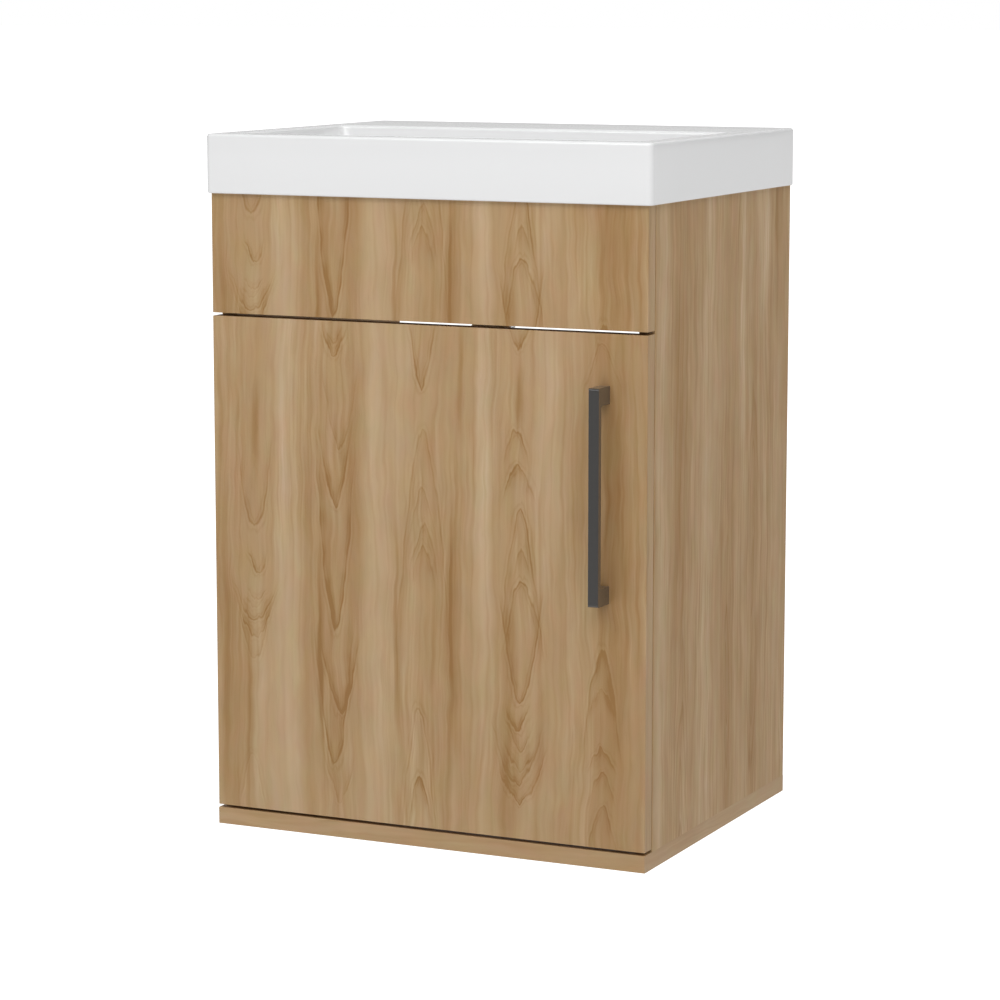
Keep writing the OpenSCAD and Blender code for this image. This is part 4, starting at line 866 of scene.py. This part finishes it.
basin_mesh = sew("cast_basin", [
    cavity_ring(TOP_Z - DECK), cavity_ring(FOOT_Z), *outside, *over, *lip, *between(lip[-1], foot[0], WALL_RINGS),
    *foot, *between(foot[-1], seat, WALL_RINGS), seat, hole_top, hole_foot, under_seat,
    *between(under_seat, shell[0], UNDER_RINGS), *shell, bowl_ring(0, TOP_Z - DECK, WALL)])
print("basin faces", len(basin_mesh.polygons))

# %% [markdown]
# The deck carries no tap. Its underside has a thin round place that a fitter knocks out if a tap is wanted.
# A Boolean modifier sinks it, and the result becomes a plain mesh.

# %% Sink the knock-out
TAP_R, TAP_SKIN = 17.5 * MM, 3 * MM


def cut_away(name, blank_mesh, cutter_mesh, use_self=False):
    """The first mesh with the second one cut out of it."""
    cutter, blank = in_scene("cutter", cutter_mesh), in_scene("blank", blank_mesh)
    sink = blank.modifiers.new("sink", "BOOLEAN")
    sink.operation, sink.solver, sink.object, sink.use_self = "DIFFERENCE", "EXACT", cutter, use_self
    made = plain_mesh(blank, name)
    bpy.data.objects.remove(cutter)
    return made


knock_out_profile = [(0, FOOT_Z), (TAP_R, FOOT_Z), (TAP_R, TOP_Z - TAP_SKIN), (0, TOP_Z - TAP_SKIN)]
knock_out = turned("knock_out", knock_out_profile, steps=64)
knock_out.transform(Matrix.Translation((0, BOWL_BACK / 2, 0)))
basin_mesh = smoothed(cut_away("cast_basin", basin_mesh, knock_out), degrees=30)
as_piece("cast_basin", basin_mesh, "cabinet", "basin", glaze)
print("basin triangles", sum(len(p.vertices) - 2 for p in basin_mesh.polygons))

# %% [markdown]
# ## Threads by Geometry Nodes
# A thread is a ridge that climbs round a bar by the same step each turn. Geometry Nodes draw it from that rule:
# a spiral curve, and a small square swept along it. The sizes are inputs of the tree, so the same tree serves
# the waste's tail and every screw. A modifier's input is set by the socket's identifier.

# %% Helpers for geometry trees


def geometry_tree(name, inputs):
    """An empty Geometry Nodes tree; the tree, its inputs and each input's identifier."""
    tree = bpy.data.node_groups.new(name, "GeometryNodeTree")
    tree.interface.new_socket("Geometry", in_out="INPUT", socket_type="NodeSocketGeometry")
    keys = {label: tree.interface.new_socket(label, in_out="INPUT", socket_type="NodeSocket" + kind).identifier
            for label, kind in inputs.items()}
    tree.interface.new_socket("Geometry", in_out="OUTPUT", socket_type="NodeSocketGeometry")
    return tree, tree.nodes.new("NodeGroupInput").outputs, keys


def end_tree(tree, geometry, material):
    """The end of each tree: real geometry instead of instances, in its material."""
    real = add(tree, "GeometryNodeRealizeInstances", {"Geometry": geometry})
    finish = add(tree, "GeometryNodeSetMaterial", {"Geometry": real.outputs[0], "Material": material})
    feed(tree, tree.nodes.new("NodeGroupOutput").inputs["Geometry"], finish.outputs[0])


def run_tree(name, mesh, tree, keys, **values):
    """What a geometry tree makes of a mesh, as a plain mesh."""
    carrier = in_scene(name, mesh)
    modifier = carrier.modifiers.new("tree", "NODES")
    modifier.node_group = tree
    for label, value in values.items():
        modifier[keys[label]] = value
    return plain_mesh(carrier, name)


print("tree helpers ready")

# %% Thread tree
RIDGE_CORNERS = 4
thread_tree, given, thread_keys = geometry_tree("thread_ridge", {
    "Radius": "Float", "Pitch": "Float", "Length": "Float", "Ridge": "Float", "Steps": "Int", "Finish": "Material"})
turns = maths(thread_tree)("DIVIDE", given["Length"], given["Pitch"])
spiral = add(thread_tree, "GeometryNodeCurveSpiral", {
    "Resolution": given["Steps"], "Rotations": turns, "Start Radius": given["Radius"],
    "End Radius": given["Radius"], "Height": given["Length"]})
ridge = add(thread_tree, "GeometryNodeCurvePrimitiveCircle", {"Resolution": RIDGE_CORNERS, "Radius": given["Ridge"]})
swept = add(thread_tree, "GeometryNodeCurveToMesh", {
    "Curve": spiral.outputs[0], "Profile Curve": ridge.outputs[0], "Fill Caps": True})
joined = add(thread_tree, "GeometryNodeJoinGeometry")
for shape in (swept.outputs[0], given["Geometry"]):
    thread_tree.links.new(shape, joined.inputs[0])
end_tree(thread_tree, joined.outputs[0], given["Finish"])


def threaded(mesh, lift, **sizes):
    """The mesh with a thread on it that starts at the height lift."""
    mesh.transform(Matrix.Translation((0, 0, -lift)))
    made = run_tree(mesh.name, mesh, thread_tree, thread_keys, **sizes)
    made.transform(Matrix.Translation((0, 0, lift)))
    return made


print("thread tree inputs", list(thread_keys))

# %% [markdown]
# ## The waste
# The waste clamps the bowl's floor between a flange and a back nut. Its tail is the round thing that shows dark
# through the gap over the door. The body is turned, with a seat for the plug and a small cage that guides the
# plug's stem, and its tail is threaded for the trap. The plug is a shallow dome on a stem.

# %% Sizes and shapes of the waste
TAIL_R, TAIL_T, TAIL_END, COLLAR_Z = 20.95 * MM, 2.4 * MM, BOWL_Z - 84 * MM, -28.4 * MM
THREAD_FROM, THREAD_L, PITCH, RIDGE = TAIL_END + 1 * MM, 57 * MM, 2.3 * MM, 0.75 * MM
BORE_R, CORE_R = TAIL_R - TAIL_T, TAIL_R - RIDGE
FLANGE_R, FLANGE_Z, FLANGE_EDGE = 32 * MM, BOWL_Z + 2.5 * MM, 1.2 * MM
PLUG_R, PLUG_Z, PLUG_T, CROWN, DOME_STEPS = 27.5 * MM, BOWL_Z + 1.25 * MM, 2.5 * MM, 2.5 * MM, 16
STEM_R, STEM_L = 4 * MM, 26 * MM
SEAT_EDGE, EYE_R = PLUG_R + 0.3 * MM, STEM_R + 0.08 * MM
GUIDE_Z, GUIDE_H, GUIDE_R = PLUG_Z - STEM_L, 14 * MM, 5.58 * MM
SPOKES, SPOKE_T, SPOKE_LIFT = 6, 2 * MM, 2 * MM


def add_box(shape, size, middle, turn):
    """A box put into a shape at its middle, then turned about the Z axis by an angle in degrees."""
    box = bmesh.ops.create_cube(shape, size=1.0)["verts"]
    bmesh.ops.scale(shape, vec=size, verts=box)
    bmesh.ops.translate(shape, vec=middle, verts=box)
    bmesh.ops.rotate(shape, cent=(0, 0, 0), matrix=Matrix.Rotation(math.radians(turn), 3, "Z"), verts=box)


def dome(radius, height, steps, lift=0.0):
    """The profile of a shallow dome, from its edge almost to its middle."""
    ball = (radius ** 2 + height ** 2) / (2 * height)
    reaches = [radius * math.cos(math.radians(90 * k / steps)) for k in range(steps)]
    return [(r, lift + height - ball + math.sqrt(ball ** 2 - r ** 2)) for r in reaches]


print("tail", round(2 * TAIL_R / MM, 1), "mm wide, its end at", round(TAIL_END / MM, 1), "mm")

# %% [markdown]
# The profiles below are walks again: outward over the tail's end, up its outside, over the flange and down the
# bore. Steps of less than a millimetre are chamfers.

# %% Turn the waste body
flange_edge = [(FLANGE_R - FLANGE_EDGE * (1 - math.cos(a)), FLANGE_Z - FLANGE_EDGE * (1 - math.sin(a)))
               for a in quarter_turn]
body_profile = [
    (BORE_R, TAIL_END), (CORE_R - 0.4 * MM, TAIL_END), (CORE_R, TAIL_END + 0.5 * MM), (CORE_R, COLLAR_Z - 0.6 * MM),
    (TAIL_R, COLLAR_Z), (TAIL_R, BOWL_Z), (FLANGE_R, BOWL_Z), *flange_edge, (SEAT_EDGE + 0.5 * MM, FLANGE_Z),
    (SEAT_EDGE, FLANGE_Z - 0.4 * MM), (SEAT_EDGE, PLUG_Z - 0.2 * MM), (BORE_R + 0.6 * MM, PLUG_Z - 1.4 * MM),
    (BORE_R, PLUG_Z - 2 * MM)]
waste_mesh = threaded(turned("waste_body_turned", body_profile), THREAD_FROM, Radius=CORE_R, Pitch=PITCH,
                      Length=THREAD_L, Ridge=RIDGE, Steps=48, Finish=polished_chrome)
guide_profile = [(EYE_R, GUIDE_Z), (GUIDE_R, GUIDE_Z), (GUIDE_R, GUIDE_Z + GUIDE_H), (EYE_R, GUIDE_Z + GUIDE_H)]
guide_mesh = turned("stem_guide", guide_profile, steps=48)
cage = bmesh.new()
for mesh in (waste_mesh, guide_mesh):
    cage.from_mesh(mesh)
spoke_from, spoke_to = GUIDE_R - 0.5 * MM, TAIL_R - TAIL_T / 2
for k in range(SPOKES):
    add_box(cage, (spoke_to - spoke_from, SPOKE_T, GUIDE_H / 2),
            ((spoke_to + spoke_from) / 2, 0, GUIDE_Z + SPOKE_LIFT + GUIDE_H / 4), 360 * (k + 0.5) / SPOKES)
cage.to_mesh(waste_mesh)
cage.free()
waste_mesh.transform(Matrix.Translation((0, DRAIN_Y, 0)))
as_piece("waste_body_turned", smoothed(waste_mesh), "cabinet", "waste_body", polished_chrome)
print("waste body faces", len(waste_mesh.polygons))

# %% Turn the plug
plug_profile = [(0, -STEM_L), (STEM_R - 0.5 * MM, -STEM_L), (STEM_R, 0.5 * MM - STEM_L), (STEM_R, 0),
                (PLUG_R - 0.5 * MM, 0), (PLUG_R, 0.5 * MM), *dome(PLUG_R, CROWN, DOME_STEPS, PLUG_T),
                (0, PLUG_T + CROWN)]
plug_mesh = turned("waste_plug_turned", plug_profile)
plug_mesh.transform(Matrix.Translation((0, DRAIN_Y, PLUG_Z)))
as_piece("waste_plug_turned", smoothed(plug_mesh), "plug", "waste_plug", polished_chrome)
print("plug top at", round((PLUG_Z + PLUG_T + CROWN) / MM, 2), "mm")

# %% [markdown]
# ## Screws by Geometry Nodes
# The small screws repeat, so one screw is made for each size, and Geometry Nodes set it on points. The points
# come from the frame: each loose screw of a node tells where its head sits, which way it faces, and how long and
# thick it is. So a screw can never stand beside its hole.

# %% Part a node into its solids


def loose_parts(node):
    """The separate solids of a node as lists of points."""
    corner_of, parent = {}, {}

    def root(k):
        while parent[k] != k:
            parent[k] = parent[parent[k]]
            k = parent[k]
        return k

    keys = []
    for v in node.data.vertices:
        key = tuple(round(c / MM, 3) for c in v.co)
        corner_of.setdefault(key, v.co.copy())
        parent.setdefault(key, key)
        keys.append(key)
    for face in node.data.polygons:
        first, *others = (keys[i] for i in face.vertices)
        for other in others:
            parent[root(other)] = root(first)
    parts = {}
    for key, corner in corner_of.items():
        parts.setdefault(root(key), []).append(corner)
    return list(parts.values())


print("solids in the bracket screws", len(loose_parts(nodes["bracket_screws"])))

# %% Measure the screws
SCREW_NODES = {"bracket_screws": "cabinet", "plate_screws": "cabinet", "arm_screws": "cabinet",
               "cup_screws": "door", "handle_screws": "door"}
CLEARLY_LONGER, HEAD_SHARE, UNDER_HEAD = 1.15, 0.97, 0.6 * MM


def measure_screw(corners):
    """Seat and facing of one screw, and its length, shank radius, head radius and head height."""
    low, high = (Vector(pick(p[k] for p in corners) for k in range(3)) for pick in (min, max))
    size, middle = high - low, (low + high) / 2
    axis = max(range(3), key=lambda k: size[k] if size[k] > CLEARLY_LONGER * sorted(size)[1] else -size[k])
    u, v = (k for k in range(3) if k != axis)

    def reach(p):
        return math.hypot(p[u] - middle[u], p[v] - middle[v])

    head_r = max(reach(p) for p in corners)
    head = [p[axis] for p in corners if reach(p) > HEAD_SHARE * head_r]
    sign = 1 if sum(head) / len(head) > middle[axis] else -1
    top, tip = (high[axis], low[axis]) if sign > 0 else (low[axis], high[axis])
    seat = min(head) if sign > 0 else max(head)
    shank_r = max(reach(p) for p in corners if (seat - p[axis]) * sign > UNDER_HEAD)
    origin, facing = middle.copy(), Vector((0, 0, 0))
    origin[axis], facing[axis] = seat, sign
    return origin, facing, dict(length=abs(seat - tip), shank_r=shank_r, head_r=head_r, head_h=abs(top - seat))


measured = {name: [measure_screw(part) for part in loose_parts(nodes[name])] for name in SCREW_NODES}
for name, rows in measured.items():
    print(name, len(rows), {k: round(v / MM, 2) for k, v in rows[0][2].items()})

# %% [markdown]
# One screw: a domed head with a cross in it, a short plain neck, and a threaded shank that ends in a point. The
# cross is sunk by a Boolean, the thread comes from the tree above. All shares are parts of the screw's own sizes.

# %% Make one screw
HEAD_STEPS, SCREW_STEPS, RIM_H = 6, 24, 0.3 * MM
CORE_SHARE, NECK_SHARE, PITCH_SHARE, TIP_SHARE = 0.76, 0.95, 0.75, 1.6
NECK_END, THREAD_START, LONGEST_TIP = 0.1, 0.15, 0.3
CROSS_L, CROSS_T = 1.12, 0.28


def make_screw(name, length, shank_r, head_r, head_h):
    """A pan-head screw whose shank runs down from the origin."""
    core, neck = shank_r * CORE_SHARE, shank_r * NECK_SHARE
    tip = min(shank_r * TIP_SHARE, length * LONGEST_TIP)
    (_, rim_z), *head = dome(head_r, head_h, HEAD_STEPS)
    profile = [(0, -length), (core, tip - length), (core, -THREAD_START * length), (neck, -NECK_END * length),
               (neck, 0), (head_r, 0), (head_r, max(rim_z, RIM_H)), *head, (0, head_h)]
    cross, cross_mesh = bmesh.new(), bpy.data.meshes.new("cross")
    for turn in (0, 90):
        add_box(cross, (head_r * CROSS_L, head_r * CROSS_T, head_h), (0, 0, head_h), turn)
    cross.to_mesh(cross_mesh)
    cross.free()
    blank = cut_away(name, turned(name, profile, SCREW_STEPS), cross_mesh, use_self=True)
    return threaded(blank, tip - length, Radius=core, Pitch=shank_r * PITCH_SHARE,
                    Length=(1 - THREAD_START) * length - tip, Ridge=shank_r - core, Steps=12, Finish=plated_steel)


print("core of a screw", CORE_SHARE, "of its radius")

# %% Tree that sets the screws
setting_tree, given, setting_keys = geometry_tree("screws_on_points", {"Screw": "Object", "Finish": "Material"})
facing = add(setting_tree, "GeometryNodeInputNamedAttribute", {"Name": "facing"}, data_type="FLOAT_VECTOR")
aligned = add(setting_tree, "FunctionNodeAlignRotationToVector", {"Vector": facing.outputs["Attribute"]}, axis="Z")
one_screw = add(setting_tree, "GeometryNodeObjectInfo", {"Object": given["Screw"], "As Instance": True})
placed = add(setting_tree, "GeometryNodeInstanceOnPoints", {
    "Points": given["Geometry"], "Instance": one_screw.outputs["Geometry"], "Rotation": aligned.outputs["Rotation"]})
end_tree(setting_tree, placed.outputs[0], given["Finish"])
print("setting tree inputs", list(setting_keys))

# %% Set the screws
for name, rows in measured.items():
    pattern = in_scene("one_of_" + name, make_screw("one_of_" + name, **rows[0][2]))
    points = bpy.data.meshes.new(name + "_points")
    points.from_pydata([origin for origin, *_ in rows], [], [])
    ways = points.attributes.new("facing", "FLOAT_VECTOR", "POINT")
    ways.data.foreach_set("vector", [c for _, way, _ in rows for c in way])
    made = run_tree(name + "_set", points, setting_tree, setting_keys, Screw=pattern, Finish=plated_steel)
    bpy.data.objects.remove(pattern)
    as_piece(name + "_set", smoothed(made), SCREW_NODES[name], name, plated_steel)
    print(name, "faces", len(made.polygons))
